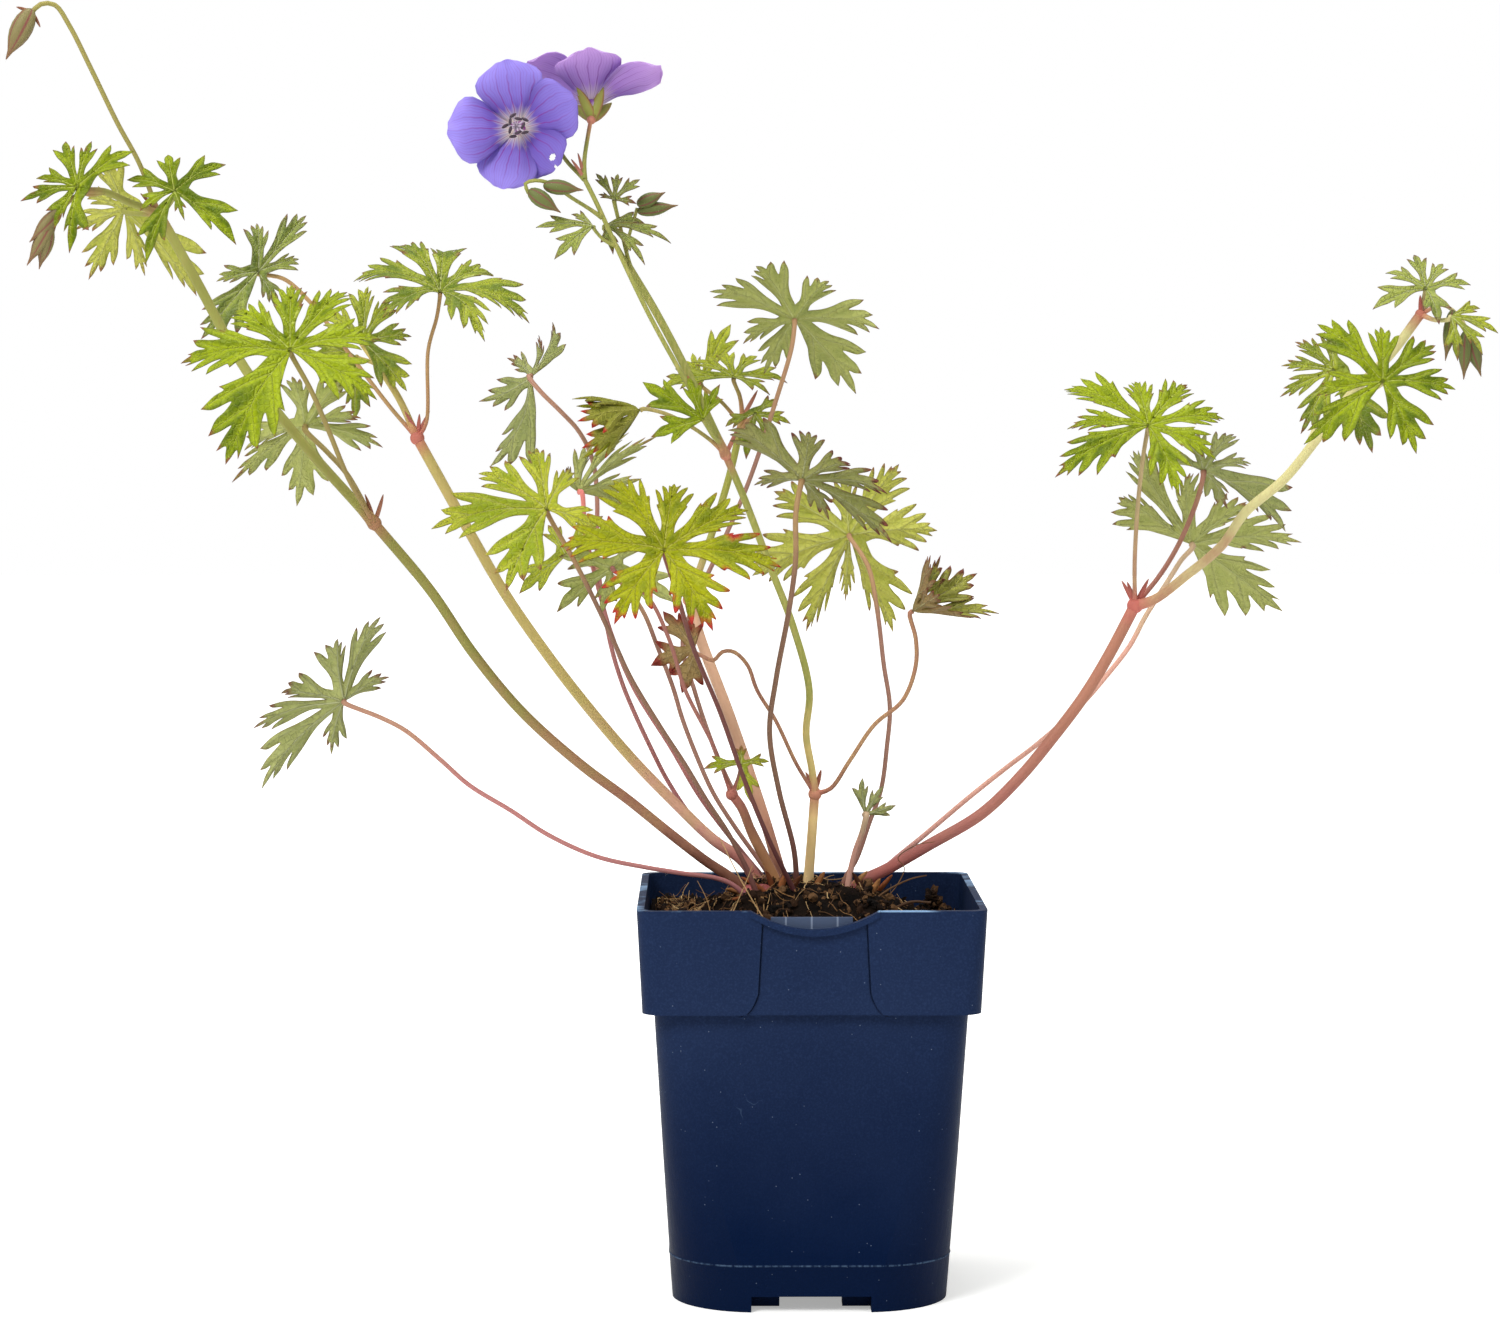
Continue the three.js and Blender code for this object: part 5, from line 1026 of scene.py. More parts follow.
# ---- Stems ----
# Round downy stems that lean out from the crown and swell at each node, where a petiole or a fork leaves
# between pink stipules. Pink-brown at the foot and green where the sun reaches them.
# at is a run's route, and a rooted run goes down into the peat from its first point. leaf names the blade
# that a run ends under. swellings are places with their radius, scales and buds run from a foot to a tip.
STEMS = {
    "stem_far_left": {
        "runs": [
            {"rooted": True, "radius": 1.6, "at": [[-22, -12, 132], [-34, -16, 141], [-45, -20, 150],
                [-58, -24, 161], [-73, -31, 173], [-91, -38, 190], [-106, -45, 209], [-119, -50, 229],
                [-136, -54, 250]]},
            {"radius": 1.55, "at": [[-136, -54, 250], [-159, -54, 276], [-176, -52, 298], [-191, -50, 325],
                [-200, -48, 341], [-203, -47, 346]]},
            {"radius": 0.78, "leaf": "leaf_bright_left", "at": [[-136, -54, 250], [-143, -64, 264],
                [-148, -72, 278], [-153, -78, 291]]},
            {"radius": 0.85, "leaf": "leaf_behind_left", "at": [[-136, -54, 250], [-145, -46, 265],
                [-152, -38, 272]]},
            {"radius": 1.1, "at": [[-203, -47, 346], [-211, -54, 349], [-218, -60, 352], [-224, -64, 352]]},
            {"radius": 0.75, "leaf": "leaf_top_left", "at": [[-218, -60, 352], [-222, -62, 351]]},
            {"radius": 0.75, "leaf": "leaf_top_under", "at": [[-203, -47, 346], [-208, -42, 346]]},
            {"radius": 0.75, "leaf": "leaf_top_front", "at": [[-203, -47, 346], [-200, -53, 347]]},
            {"radius": 0.75, "at": [[-203, -47, 346], [-208, -52, 361], [-214, -56, 373], [-221, -62, 389],
                [-227, -66, 402], [-231, -68, 408], [-235, -70, 408], [-238, -71, 405]]},
            {"radius": 0.6, "at": [[-224, -64, 352], [-229, -67, 347], [-233, -69, 340]]},
        ],
        "swellings": [[-136, -54, 250, 2.3], [-203, -47, 346, 2], [-224, -64, 352, 1.5]],
        "scales": [[[-136, -54, 250], [-133, -56, 259], 1.3], [[-136, -54, 250], [-139, -52, 259], 1.3],
            [[-203, -47, 346], [-208, -50, 352], 1.3], [[-203, -47, 346], [-198, -46, 352], 1.3],
            [[-237.5, -71, 405.5], [-242, -72, 407], 1], [[-237.5, -71, 405.5], [-235, -71, 401], 1]],
        "buds": [[[-237.5, -71, 406.5], [-245, -74, 391], 7], [[-230, -67, 346], [-239, -71, 336], 5],
            [[-232, -68, 343], [-240, -70, 329], 5], [[-233, -69, 341], [-237, -66, 328], 5]],
    },
    "stem_left": {
        "runs": [
            {"rooted": True, "radius": 1.75, "at": [[-21, 5, 138], [-31, 8, 145], [-44, 13, 157],
                [-58, 18, 171], [-76, 23, 192], [-89, 26, 209], [-100, 28, 225], [-110, 31, 242],
                [-129, 34, 276]]},
            {"radius": 1.15, "leaf": "leaf_whorl_back", "at": [[-129, 34, 276], [-135, 35, 289],
                [-142, 36, 300]]},
            {"radius": 0.7, "leaf": "leaf_pale_back", "at": [[-141, 36, 299], [-144, 41, 301]]},
            {"radius": 0.7, "leaf": "leaf_dark_back", "at": [[-129, 34, 276], [-138, 38, 286],
                [-152, 42, 304], [-165, 44, 321], [-174, 43, 329]]},
            {"radius": 0.62, "leaf": "leaf_tall_left", "at": [[-129, 34, 276], [-126, 33, 281],
                [-125, 30, 305], [-122, 29, 316]]},
        ],
        "swellings": [[-129, 34, 276, 2.4]],
        "scales": [[[-129, 34, 277], [-133, 32, 285], 1.3], [[-129, 34, 277], [-125, 36, 285], 1.3],
            [[-129, 34, 277], [-128, 31, 284], 1.3]],
        "buds": [],
    },
    "stem_centre": {
        "runs": [
            {"rooted": True, "radius": 1.5, "at": [[0, 0, 132], [1, -2, 146], [2, -4, 161]]},
            {"radius": 1.15, "at": [[2, -4, 161], [1, -7, 169], [-1, -10, 181], [0, -12, 195],
                [-5, -16, 215], [-13, -22, 236], [-21, -28, 257], [-27, -34, 271]]},
            {"radius": 1.25, "at": [[-27, -34, 271], [-33, -36, 284], [-38, -36, 295], [-49, -34, 316],
                [-58, -32, 331]]},
            {"radius": 0.6, "leaf": "leaf_bract", "at": [[-58, -32, 331], [-62, -31, 338]]},
            {"radius": 0.6, "leaf": "leaf_bract_top", "at": [[-57, -32, 330], [-60, -28, 342]]},
            {"radius": 0.55, "at": [[-58, -32, 331], [-58, -24, 338], [-55, -21, 349]]},
            {"radius": 0.75, "at": [[-27, -34, 271], [-35, -43, 286], [-51, -44, 315], [-62, -42, 338],
                [-67, -42, 349], [-71, -42, 357]]},
            {"radius": 0.5, "leaf": "leaf_bract_left", "at": [[-61, -42, 336], [-65, -44, 338]]},
            {"radius": 0.65, "at": [[-71, -42, 357], [-71, -41, 363], [-70, -40, 370], [-69, -38, 376]]},
            {"radius": 0.65, "at": [[-71, -42, 357], [-76, -38, 362], [-80, -36, 367], [-86, -35, 370],
                [-91, -39, 372]]},
            {"radius": 0.6, "at": [[-65.5, -42, 345], [-70, -43, 348], [-75, -46, 351], [-81, -49, 355],
                [-86, -51, 356], [-89, -51, 355], [-88, -51, 352]]},
            {"radius": 0.62, "leaf": "leaf_curled", "at": [[-27, -34, 271], [-31, -36, 275],
                [-38, -37, 280], [-46, -36, 284]]},
            {"radius": 0.62, "leaf": "leaf_fork", "at": [[-29, -37, 275], [-31, -46, 277]]},
            {"radius": 0.65, "leaf": "leaf_red", "at": [[2, -4, 161], [-4, -10, 171], [-11, -18, 186],
                [-17, -22, 196], [-20, -24, 204], [-24, -22, 208], [-28, -18, 208], [-31, -15, 205],
                [-34, -12, 206]]},
            {"radius": 0.7, "leaf": "leaf_crumpled", "at": [[2, -4, 161], [7, -6, 163], [13, -8, 172],
                [21, -10, 184], [30, -12, 192], [34, -14, 203], [34, -15, 212]]},
        ],
        "swellings": [[2, -4, 161, 2.2], [-27, -34, 271, 1.8], [-69, -38, 375.5, 1.4],
            [-91, -39, 372, 1.5]],
        "scales": [[[2, -4, 162], [4, -5, 169], 1.5], [[2, -4, 162], [-1, -2, 168], 1.5],
            [[-27, -34, 271], [-23, -33, 280], 1.3], [[-71, -42, 357], [-75, -44, 363], 1],
            [[-71, -42, 357], [-73, -42, 365], 1]],
        "calyxes": [
            {"at": [-69, -38, 376], "axis": [-0.05, 0.6, 0.8], "turn": 234, "reach": 7, "rise": 8,
                "width": 3},
            {"at": [-91, -39, 372], "axis": [-0.1, -1, 0.12], "turn": 54, "reach": 9, "rise": 2,
                "width": 3},
        ],
        "buds": [[[-88, -51, 353], [-78, -52, 346], 5.4], [[-83.5, -50, 354.5], [-71, -51, 353], 5],
            [[-55, -22, 350], [-46, -22, 354], 4.6], [[-55, -21, 348], [-42, -20, 350], 4.6]],
    },
    "stem_back": {
        "runs": [
            {"rooted": True, "radius": 1.8, "at": [[-8, 10, 131], [-14, 14, 151], [-25, 24, 183],
                [-35, 34, 209], [-39, 40, 222]]},
            {"radius": 1.2, "at": [[-39, 40, 222], [-31, 46, 245], [-25, 50, 265], [-21, 54, 283]]},
            {"radius": 0.65, "leaf": "leaf_upper_a", "at": [[-21, 54, 283], [-22, 54, 290]]},
            {"radius": 0.65, "leaf": "leaf_upper_b", "at": [[-22, 53, 278], [-19, 50, 282]]},
            {"radius": 0.65, "leaf": "leaf_toothed", "at": [[-22, 54, 281], [-28, 60, 288]]},
        ],
        "swellings": [[-39, 40, 222, 2.2], [-21, 54, 283, 1.7]],
        "scales": [[[-21, 54, 283], [-16, 52, 292], 1.3], [[-21, 54, 283], [-22, 60, 292], 1.3]],
        "buds": [],
    },
    "stem_short": {
        "runs": [
            {"rooted": True, "radius": 1.5, "at": [[-12, -8, 136], [-18, -12, 148], [-22, -15, 158],
                [-25, -16, 162]]},
            {"radius": 0.65, "leaf": "leaf_behind_front", "at": [[-25, -16, 162], [-31, -17, 178],
                [-40, -18, 196], [-45, -19, 212], [-52, -20, 226]]},
            {"radius": 0.6, "leaf": "leaf_low_small", "at": [[-25, -16, 162], [-23, -17, 167]]},
        ],
        "swellings": [[-25, -16, 162, 2]],
        "scales": [[[-25, -16, 162], [-28, -15, 169], 1.3], [[-25, -16, 162], [-22, -13, 169], 1.3]],
        "buds": [],
    },
    "stem_right": {
        "runs": [
            {"rooted": True, "radius": 1.9, "at": [[16, -2, 131], [26, 2, 136], [39, 6, 143], [57, 11, 153],
                [70, 14, 165], [81, 16, 178], [91, 18, 191], [99, 19, 204], [108, 20, 221]]},
            {"radius": 1.55, "at": [[108, 20, 221], [114, 18, 223], [124, 14, 231], [135, 9, 241],
                [142, 4, 252], [154, -1, 263], [164, -4, 276], [174, -8, 290], [187, -6, 303],
                [197, -4, 316]]},
            {"radius": 0.7, "leaf": "leaf_right_a", "at": [[108, 20, 221], [107, 12, 236], [107, 2, 256],
                [108, -5, 272]]},
            {"radius": 0.85, "leaf": "leaf_right_b", "at": [[108, 20, 221], [117, 26, 231], [124, 30, 242],
                [130, 33, 256]]},
            {"radius": 0.7, "leaf": "leaf_far_right", "at": [[169, -7, 284], [173, -18, 288],
                [177, -28, 291]]},
            {"radius": 0.7, "leaf": "leaf_far_right_back", "at": [[162, -4, 276], [166, 8, 283],
                [170, 17, 292]]},
            {"radius": 0.7, "leaf": "leaf_tip_right", "at": [[196, -4, 314], [198, -1, 319]]},
            {"radius": 0.7, "leaf": "leaf_tip_right_b", "at": [[197, -4, 316], [201, -9, 314]]},
            {"radius": 0.6, "at": [[197, -4, 316], [204, -4, 319], [210, -3, 315], [213, -3, 309]]},
        ],
        "swellings": [[108, 20, 221, 2.7], [197, -4, 316, 1.8]],
        "scales": [[[108, 20, 221], [105, 16, 229], 1.5], [[108, 20, 221], [112, 16, 230], 1.5],
            [[108, 20, 221], [104, 24, 229], 1.5], [[197, -4, 316], [196, -9, 322], 1.2]],
        "buds": [[[207.5, -4, 317.5], [205, -5, 301], 4.6], [[212, -3, 311], [211, -5, 295], 5],
            [[213, -3, 309], [217, -3, 296], 5]],
    },
}

ROOT_DEPTH = 11
ROOT_LEAN = 0.7
TUBE_STEP = {"stem": 2.2, "stalk": 1.8}
TUBE_SIDES = {"stem": 16, "stalk": 10}
THICK = 1.1
LEAF_CLEARANCE = 0.65
STEM_RIBS = {"count": 7, "height": 0.035}
# how much wider a run is at each kind of end, and in how many millimetres most of that is gone
RUN_FLARES = {"rooted": (0.45, 9), "forked": (0.5, 2.5), "leaf": (0.3, 1.6)}
NODE_REACH = 9
SCALE = {"grid": (10, 6), "facing": (0.3, 1.0, 0.2), "arch": 0.12, "thick": 0.3}


def route_of(run):
    """A run's own points, before them its buried root, after them the underside of its leaf."""
    points = [np.array(p, float) for p in run["at"]]
    if run.get("rooted"):
        back = (points[0] - points[1]) * ROOT_LEAN
        points.insert(0, points[0] + (back[0], back[1], -ROOT_DEPTH))
    if "leaf" in run:
        leaf = LEAVES[run["leaf"]]
        under = -face_of(leaf["tips"])
        points.append(np.array(leaf["hub"], float) + under * (LEAF_CLEARANCE + 0.9 * run["radius"]))
        points.append(np.array(leaf["hub"], float) + under * BLADE / 3)
    return points


def frames_along(points):
    """For each point of a route, two unit vectors across it that turn as little as they can."""
    ways = np.gradient(points, axis=0)
    ways /= np.linalg.norm(ways, axis=1)[:, None]
    side = np.cross(ways[0], (0, 0, 1.0)) if abs(ways[0][2]) < 0.9 else np.cross(ways[0], (0, 1.0, 0))
    across = []
    for way in ways:
        side = unit(side - (side @ way) * way)
        across.append((side, np.cross(way, side)))
    return across


def tube(points, reaches, around):
    """A closed skin round a route, with the reach of each angle at each point."""
    rings = [
        point + np.outer(reach * np.cos(around), side) + np.outer(reach * np.sin(around), other)
        for point, reach, (side, other) in zip(points, reaches, frames_along(points))
    ]
    return skinned(rings)


def marked(skin, faces, **marks):
    """A mesh with its marks, each one number for all its points or one for each."""
    return skin, faces, {name: np.zeros(len(skin)) + value for name, value in marks.items()}


def ball_profile(radius, least):
    """Radii along a ball's axis. least: the share of it at which the ends are cut off flat."""
    shares = np.linspace(0, 1, 11)
    return [(t, 2 * radius * math.sqrt(max(t * (1 - t), least * (1 - least)))) for t in shares]


def swept(points, radii, sides, ribs=0.0):
    """A closed tube round a route, with one radius a point."""
    around = np.arange(sides) * 2 * math.pi / sides
    reach = 1 + ribs * np.cos(STEM_RIBS["count"] * around)
    return tube(points, [radius * reach for radius in radii], around)


def run_skin(run):
    """One run as a tube, wider where it starts and where it meets its leaf."""
    kind = "stem" if run["radius"] > THICK else "stalk"
    route = route_of(run)
    points = np.array([*smooth_run(route, TUBE_STEP[kind]), route[-1]])
    length = np.concatenate([[0], np.cumsum(np.linalg.norm(np.diff(points, axis=0), axis=1))])
    flare, fall = RUN_FLARES["rooted" if run.get("rooted") else "forked"]
    radii = run["radius"] * (1 + flare * np.exp(-length / fall))
    if "leaf" in run:
        flare, fall = RUN_FLARES["leaf"]
        radii *= 1 + flare * np.exp(-(length[-1] - length) / fall)
    sides = TUBE_SIDES[kind]
    return *swept(points, radii, sides, STEM_RIBS["height"]), sides


def run_rings(run):
    skin, _, sides = run_skin(run)
    return skin.reshape(-1, sides, 3)


def run_tube(run, nodes, foot, top, blush=0.0):
    """A run with its marks: sun, how high it stands, node, how near a swelling, and blush, how pink it is."""
    skin, faces, _ = run_skin(run)
    far = np.full(len(skin), float(NODE_REACH))
    near = np.min([far, *[np.linalg.norm(skin - node[:3], axis=1) for node in nodes]], axis=0)
    sun = np.clip((skin[:, 2] - foot) / (top - foot), 0, 1)
    return marked(skin, faces, sun=sun, node=1 - near / NODE_REACH, tip=0, blush=blush)


def lathe(start, end, profile, sides, ribs=0.0, lobes=5):
    """A body of revolution: profile gives radii in millimetres along shares of the way from start to end."""
    start, end = np.array(start, float), np.array(end, float)
    points = np.array([start + (end - start) * t for t, _ in profile])
    around = np.arange(sides) * 2 * math.pi / sides
    reach = 1 + ribs * np.abs(np.cos(lobes * around / 2))
    skin, faces = tube(points, [radius * reach for _, radius in profile], around)
    return skin, faces, np.repeat([t for t, _ in profile], sides), np.tile(around, len(profile))


def swelling_body(x, y, z, radius, top):
    skin, faces, _, _ = lathe((x, y, z - radius), (x, y, z + radius), ball_profile(radius, 0.004), 16)
    return marked(skin, faces, sun=(z - SOIL_EDGE) / (top - SOIL_EDGE), node=1, tip=0, blush=0)


def scale_blade(start, end, width, cup=0.3, rosy=True):
    """A stipule or a sepal: a slim cupped blade with a drawn-out tip, rosy all over or only at its edges."""
    start, end = np.array(start, float), np.array(end, float)
    length = np.linalg.norm(end - start)
    way = (end - start) / length
    side = unit(np.cross(way, SCALE["facing"]))
    up = np.cross(side, way)
    rows, columns = SCALE["grid"]
    t = np.repeat(np.arange(rows + 1) / rows, columns + 1)
    b = np.tile(np.linspace(-1, 1, columns + 1), rows + 1)
    half = width / 2 * (1 - t) ** 0.8 * (1 + 1.9 * t) * 0.78 + 0.06
    rise = cup * half * b * b + SCALE["arch"] * length * t * (1 - t)
    grid = start + np.outer(length * t, way) + np.outer(half * b, side) + np.outer(rise, up)
    triangles = [piece for a, b, c, d in squares(rows, columns) for piece in ((a, b, c), (a, c, d))]
    marks = {"sun": 0.5 + 0 * t, "node": np.where(rosy, 1.0, np.abs(b) ** 3)}
    marks.update(tip=t * (1 if rosy else 0.5), blush=np.full(len(t), 0.5 if rosy else 0.0))
    skin, faces, both = thickened(grid, triangles, marks, np.full(len(t), SCALE["thick"]))
    del both["under"]
    return skin, faces, both


def calyx_tips(calyx):
    up = unit(np.array(calyx["axis"], float))
    side = unit(np.array([1.0, 0, 0]) - up[0] * up)
    front = np.cross(up, side)
    for k in range(5):
        angle = math.radians(calyx["turn"] + 72 * k)
        reach = calyx["reach"] * (math.cos(angle) * side + math.sin(angle) * front)
        yield np.array(calyx["at"], float) + up * calyx["rise"] + reach


def stem_parts(stem, blushes):
    top = max(p[2] for run in stem["runs"] for p in run["at"])
    nodes = stem["swellings"]
    parts = [run_tube(run, nodes, SOIL_EDGE, top, blushes.get(k, 0.0)) for k, run in enumerate(stem["runs"])]
    parts += [swelling_body(*node, top) for node in nodes]
    return parts + [scale_blade(*scale) for scale in stem["scales"]]


# a bud's radius on its way along, in widths
BUD_PROFILE = [
    (0.0, 0.06), (0.03, 0.2), (0.1, 0.33), (0.22, 0.43), (0.36, 0.47), (0.5, 0.44), (0.63, 0.35),
    (0.75, 0.22), (0.84, 0.12), (0.92, 0.07), (1.0, 0.02),
]
BUD = {"sides": 30, "ridges": 0.16, "full": 1.1, "tip": 0.6}


def bud_body(start, end, width):
    """Five sepals folded round each other, with drawn-out tips."""
    profile = [(t, share * width / BUD["full"]) for t, share in BUD_PROFILE]
    skin, faces, along, around = lathe(start, end, profile, BUD["sides"], BUD["ridges"])
    seam = 1 - np.abs(np.cos(2.5 * around))
    tip = np.clip((along - BUD["tip"]) / (1 - BUD["tip"]), 0, 1)
    return marked(skin, faces, sun=along, node=seam**6, tip=tip, blush=0)


def stem_material(name, foot, low, middle, top, pink, pink_share, turn=0.5):
    """turn: how high, as a share of the stem, the shaded colour gives way to the sunny one."""
    look = Look(name)
    cloud, streak = look.noise(90.0, 4.0), look.noise(1500.0, 2.0, upright=0.12)
    sunny = look.mark("sun") + cloud.ramp(0.3, 0.7, -0.06, 0.06)
    tint = sunny.ramp(0.0, 0.16).blend(foot, low)
    tint = sunny.ramp(0.12, 0.34).blend(tint, middle)
    tint = sunny.ramp(turn, turn + 0.15).blend(tint, top)
    tint = (look.mark("blush") * cloud.ramp(0.3, 0.7, 0.7, 1.0)).blend(tint, BLUSH)
    tint = (look.mark("node").ramp(0.1, 0.9) * pink_share).blend(tint, pink)
    tint = streak.ramp(0.5, 0.75, 0.0, 0.2).blend(tint, low)
    tint = (look.mark("tip") * 0.7).blend(tint, STIPULE_TIP)
    flesh = {"Subsurface Weight": 0.04, "Subsurface Radius": (0.0015, 0.001, 0.0005)}
    return look.finish(tint, 0.55, 0.22, streak + cloud, 0.0001, flesh)


STIPULE_TIP = colour(0x7A4A3A)
BUD_GREEN = 0x646C3A
BUD_LOOKS = {"stem_far_left": 0x7E744A, "stem_right": 0x646C3C}
SEPAL_GREEN = colour(0x868E3E)
BLUSH = colour(0x9C6058)
# for each stem: its colours at the foot, low down, half way and at the top, its flush at the nodes, how
# strong that is, and where the top's colour starts
STEM_LOOKS = {
    "stem_far_left": (0x6A3E32, 0x9A6C54, 0x84803F, 0x94944A, 0xA86458, 0.6, 0.44),
    "stem_left": (0x9A5450, 0xC4907E, 0xB4A260, 0xC0AE64, 0xBA5C5C, 0.85, 0.72),
    # stem_centre's foot and low colours are painted very pale, as painted light against the shade round its
    # foot
    "stem_centre": (0xFFE0A4, 0xFAD892, 0x989A4C, 0x8E9048, 0xC4746A, 0.8, 0.55),
    "stem_back": (0x6A4038, 0xC89078, 0xD2A88A, 0x9EA048, 0xC87E6A, 0.7, 0.57),
    "stem_short": (0xEEA878, 0xC49060, 0x90604E, 0x90685C, 0xB86A60, 0.6, 0.4),
    "stem_right": (0xAE6058, 0x9C6058, 0xA8725C, 0xCAC288, 0xBC605A, 0.85, 0.5),
}
# the runs that are flushed pink all along, as most petioles in the shade are
BLUSHES = {
    "stem_far_left": {2: 0.35, 3: 0.35, 8: 0.2},
    "stem_left": {3: 0.6, 4: 0.7},
    "stem_centre": {11: 0.3, 13: 0.95, 14: 0.85},
    "stem_back": {2: 0.5, 3: 0.5, 4: 0.5},
    "stem_short": {1: 0.7},
    "stem_right": {2: 0.5, 3: 0.95, 8: 0.2},
}

for name, stem in STEMS.items():
    *tints, share, turn = STEM_LOOKS[name]
    skin = stem_material(f"{name} skin", *[colour(code) for code in tints], share, turn)
    dress(mesh_object(f"{name}_skin", *together(stem_parts(stem, BLUSHES[name]))), skin, "stem", name)
    if stem["buds"]:
        green = colour(BUD_LOOKS.get(name, BUD_GREEN))
        bud_skin = stem_material(f"{name} buds", *[green] * 4, colour(0x7E3A40), 0.9)
        buds = mesh_object(f"{name}_buds", *together([bud_body(*bud) for bud in stem["buds"]]))
        dress(buds, bud_skin, "stem")
    for k, calyx in enumerate(stem.get("calyxes", [])):
        sepal_skin = stem_material(f"{name} sepals {k}", *[SEPAL_GREEN] * 4, colour(0x9A5A48), 0.8)
        width = calyx["width"] * 1.2
        sepals = [scale_blade(calyx["at"], tip, width, 0.5, False) for tip in calyx_tips(calyx)]
        dress(mesh_object(f"{name}_sepals_{k}", *together(sepals)), sepal_skin, "stem")


# ---- Petioles ----
# Slim downy stalks of the lower leaves, straight out of the crown, pink to maroon in the shade.
PETIOLES = {
    "petiole_low_left": {"leaf": "leaf_low_left", "at": [[-26, -20, 134], [-42, -27, 138], [-52, -30, 140],
        [-68, -34, 144], [-83, -36, 151], [-95, -37, 159], [-108, -37, 167], [-117, -37, 175],
        [-128, -35, 184], [-136, -33, 188]]},
    "petiole_wide_left": {"leaf": "leaf_wide_left", "at": [[-20, -21, 138], [-26, -24, 150],
        [-33, -27, 161], [-40, -30, 173], [-47, -33, 184], [-57, -37, 201], [-62, -39, 212],
        [-68, -40, 225], [-74, -41, 237]]},
    "petiole_thin_left": {"leaf": "leaf_thin_left", "at": [[-22, 12, 141], [-35, 14, 158], [-45, 14, 175],
        [-57, 8, 195], [-64, 0, 213], [-68, -6, 228], [-72, -9, 246]]},
    "petiole_edge_left": {"leaf": "leaf_edge_left", "at": [[-19, 18, 134], [-28, 20, 141], [-38, 22, 151],
        [-46, 22, 163], [-51, 20, 173], [-57, 19, 186], [-61, 18, 196], [-65, 18, 210], [-69, 19, 237],
        [-69, 19, 256], [-70, 11, 268], [-74, -2, 278], [-80, -11, 285], [-86, -13, 291]]},
    "petiole_shaded": {"leaf": "leaf_shaded_left", "at": [[-14, 0, 136], [-24, 0, 150], [-31, 1, 161],
        [-36, 2, 172], [-41, 3, 185], [-44, 4, 195], [-49, 6, 208], [-54, 8, 220], [-61, 10, 229],
        [-69, 10, 234]]},
    "petiole_front": {"leaf": "leaf_front", "at": [[-6, -18, 133], [-13, -26, 148], [-21, -34, 168],
        [-29, -44, 191], [-37, -54, 211], [-42, -62, 228]]},
    "petiole_dark_centre": {"leaf": "leaf_dark_centre", "radius": 0.85, "at": [[-4, -10, 133],
        [-5, -14, 144], [-10, -20, 164], [-13, -26, 183], [-11, -30, 200], [-7, -34, 222], [-5, -38, 238],
        [-5, -42, 253]]},
    "petiole_high_centre": {"leaf": "leaf_high_centre", "at": [[-10, 2, 134], [-20, 2, 153], [-29, 6, 171],
        [-37, 16, 193], [-41, 24, 209], [-35, 28, 226], [-28, 30, 241], [-19, 29, 262], [-10, 27, 289],
        [-5, 26, 306]]},
    "petiole_backlit": {"leaf": "leaf_backlit", "at": [[12, 5, 132], [16, 6, 139], [20, 8, 150],
        [24, 10, 161], [26, 12, 175], [27, 13, 188], [25, 14, 202], [23, 16, 219], [20, 18, 234]]},
    "petiole_low_right": {"leaf": "leaf_low_right", "radius": 0.9, "at": [[13, -8, 134], [15, -9, 143],
        [17, -11, 149]]},
    "petiole_twin_right": {"leaf": "leaf_right_c", "radius": 0.85, "at": [[25, 9, 135], [39, 15, 146],
        [54, 20, 158], [66, 24, 167], [77, 27, 175], [91, 31, 187], [100, 33, 197], [108, 35, 207],
        [113, 37, 216], [123, 46, 230], [127, 52, 235]]},
}

PETIOLE_RADIUS = 0.75
PETIOLE_LOOKS = {
    "pink": (0x8A4850, 0xA2686A, 0xAC726E, 0xA87E68, 0xB86A60, 0.3, 0.7),
    "tan": (0x9A4C56, 0xC8908C, 0xCC9A88, 0xC4A888, 0xB86A60, 0.3, 0.7),
    # a darker copy of brown, as painted shade
    "shaded_brown": (0x6E4440, 0x7A5048, 0x80604C, 0xA08058, 0x7A4038, 0.3, 0.75),
    "rose": (0x6E4440, 0x805854, 0xAC706A, 0xE0847C, 0xB86A60, 0.3, 0.8),
    "maroon": (0x5A2E32, 0x5C3234, 0x6C403A, 0x8A5448, 0x5A3030, 0.3, 0.8),
    "brown": (0x8E5E52, 0x9A6E60, 0x9A7262, 0xB08A66, 0x7A4038, 0.3, 0.75),
}
PETIOLE_LOOK_OF = {
    "rose": ("petiole_thin_left",),
    "tan": ("petiole_twin_right", "petiole_low_right"),
    "shaded_brown": ("petiole_dark_centre", "petiole_wide_left"),
    "maroon": ("petiole_front",),
    "brown": ("petiole_shaded", "petiole_backlit", "petiole_high_centre"),
}

petiole_skins = {
    look: stem_material(f"petiole skin {look}", *[colour(code) for code in codes], share, turn)
    for look, (*codes, share, turn) in PETIOLE_LOOKS.items()
}
for name, petiole in PETIOLES.items():
    look = next((look for look, names in PETIOLE_LOOK_OF.items() if name in names), "pink")
    run = {"radius": PETIOLE_RADIUS, **petiole, "rooted": True}
    top = LEAVES[petiole["leaf"]]["hub"][2]
    stalk = mesh_object(f"{name}_skin", *run_tube(run, [], SOIL_EDGE, top))
    dress(stalk, petiole_skins[look], "petiole", name)


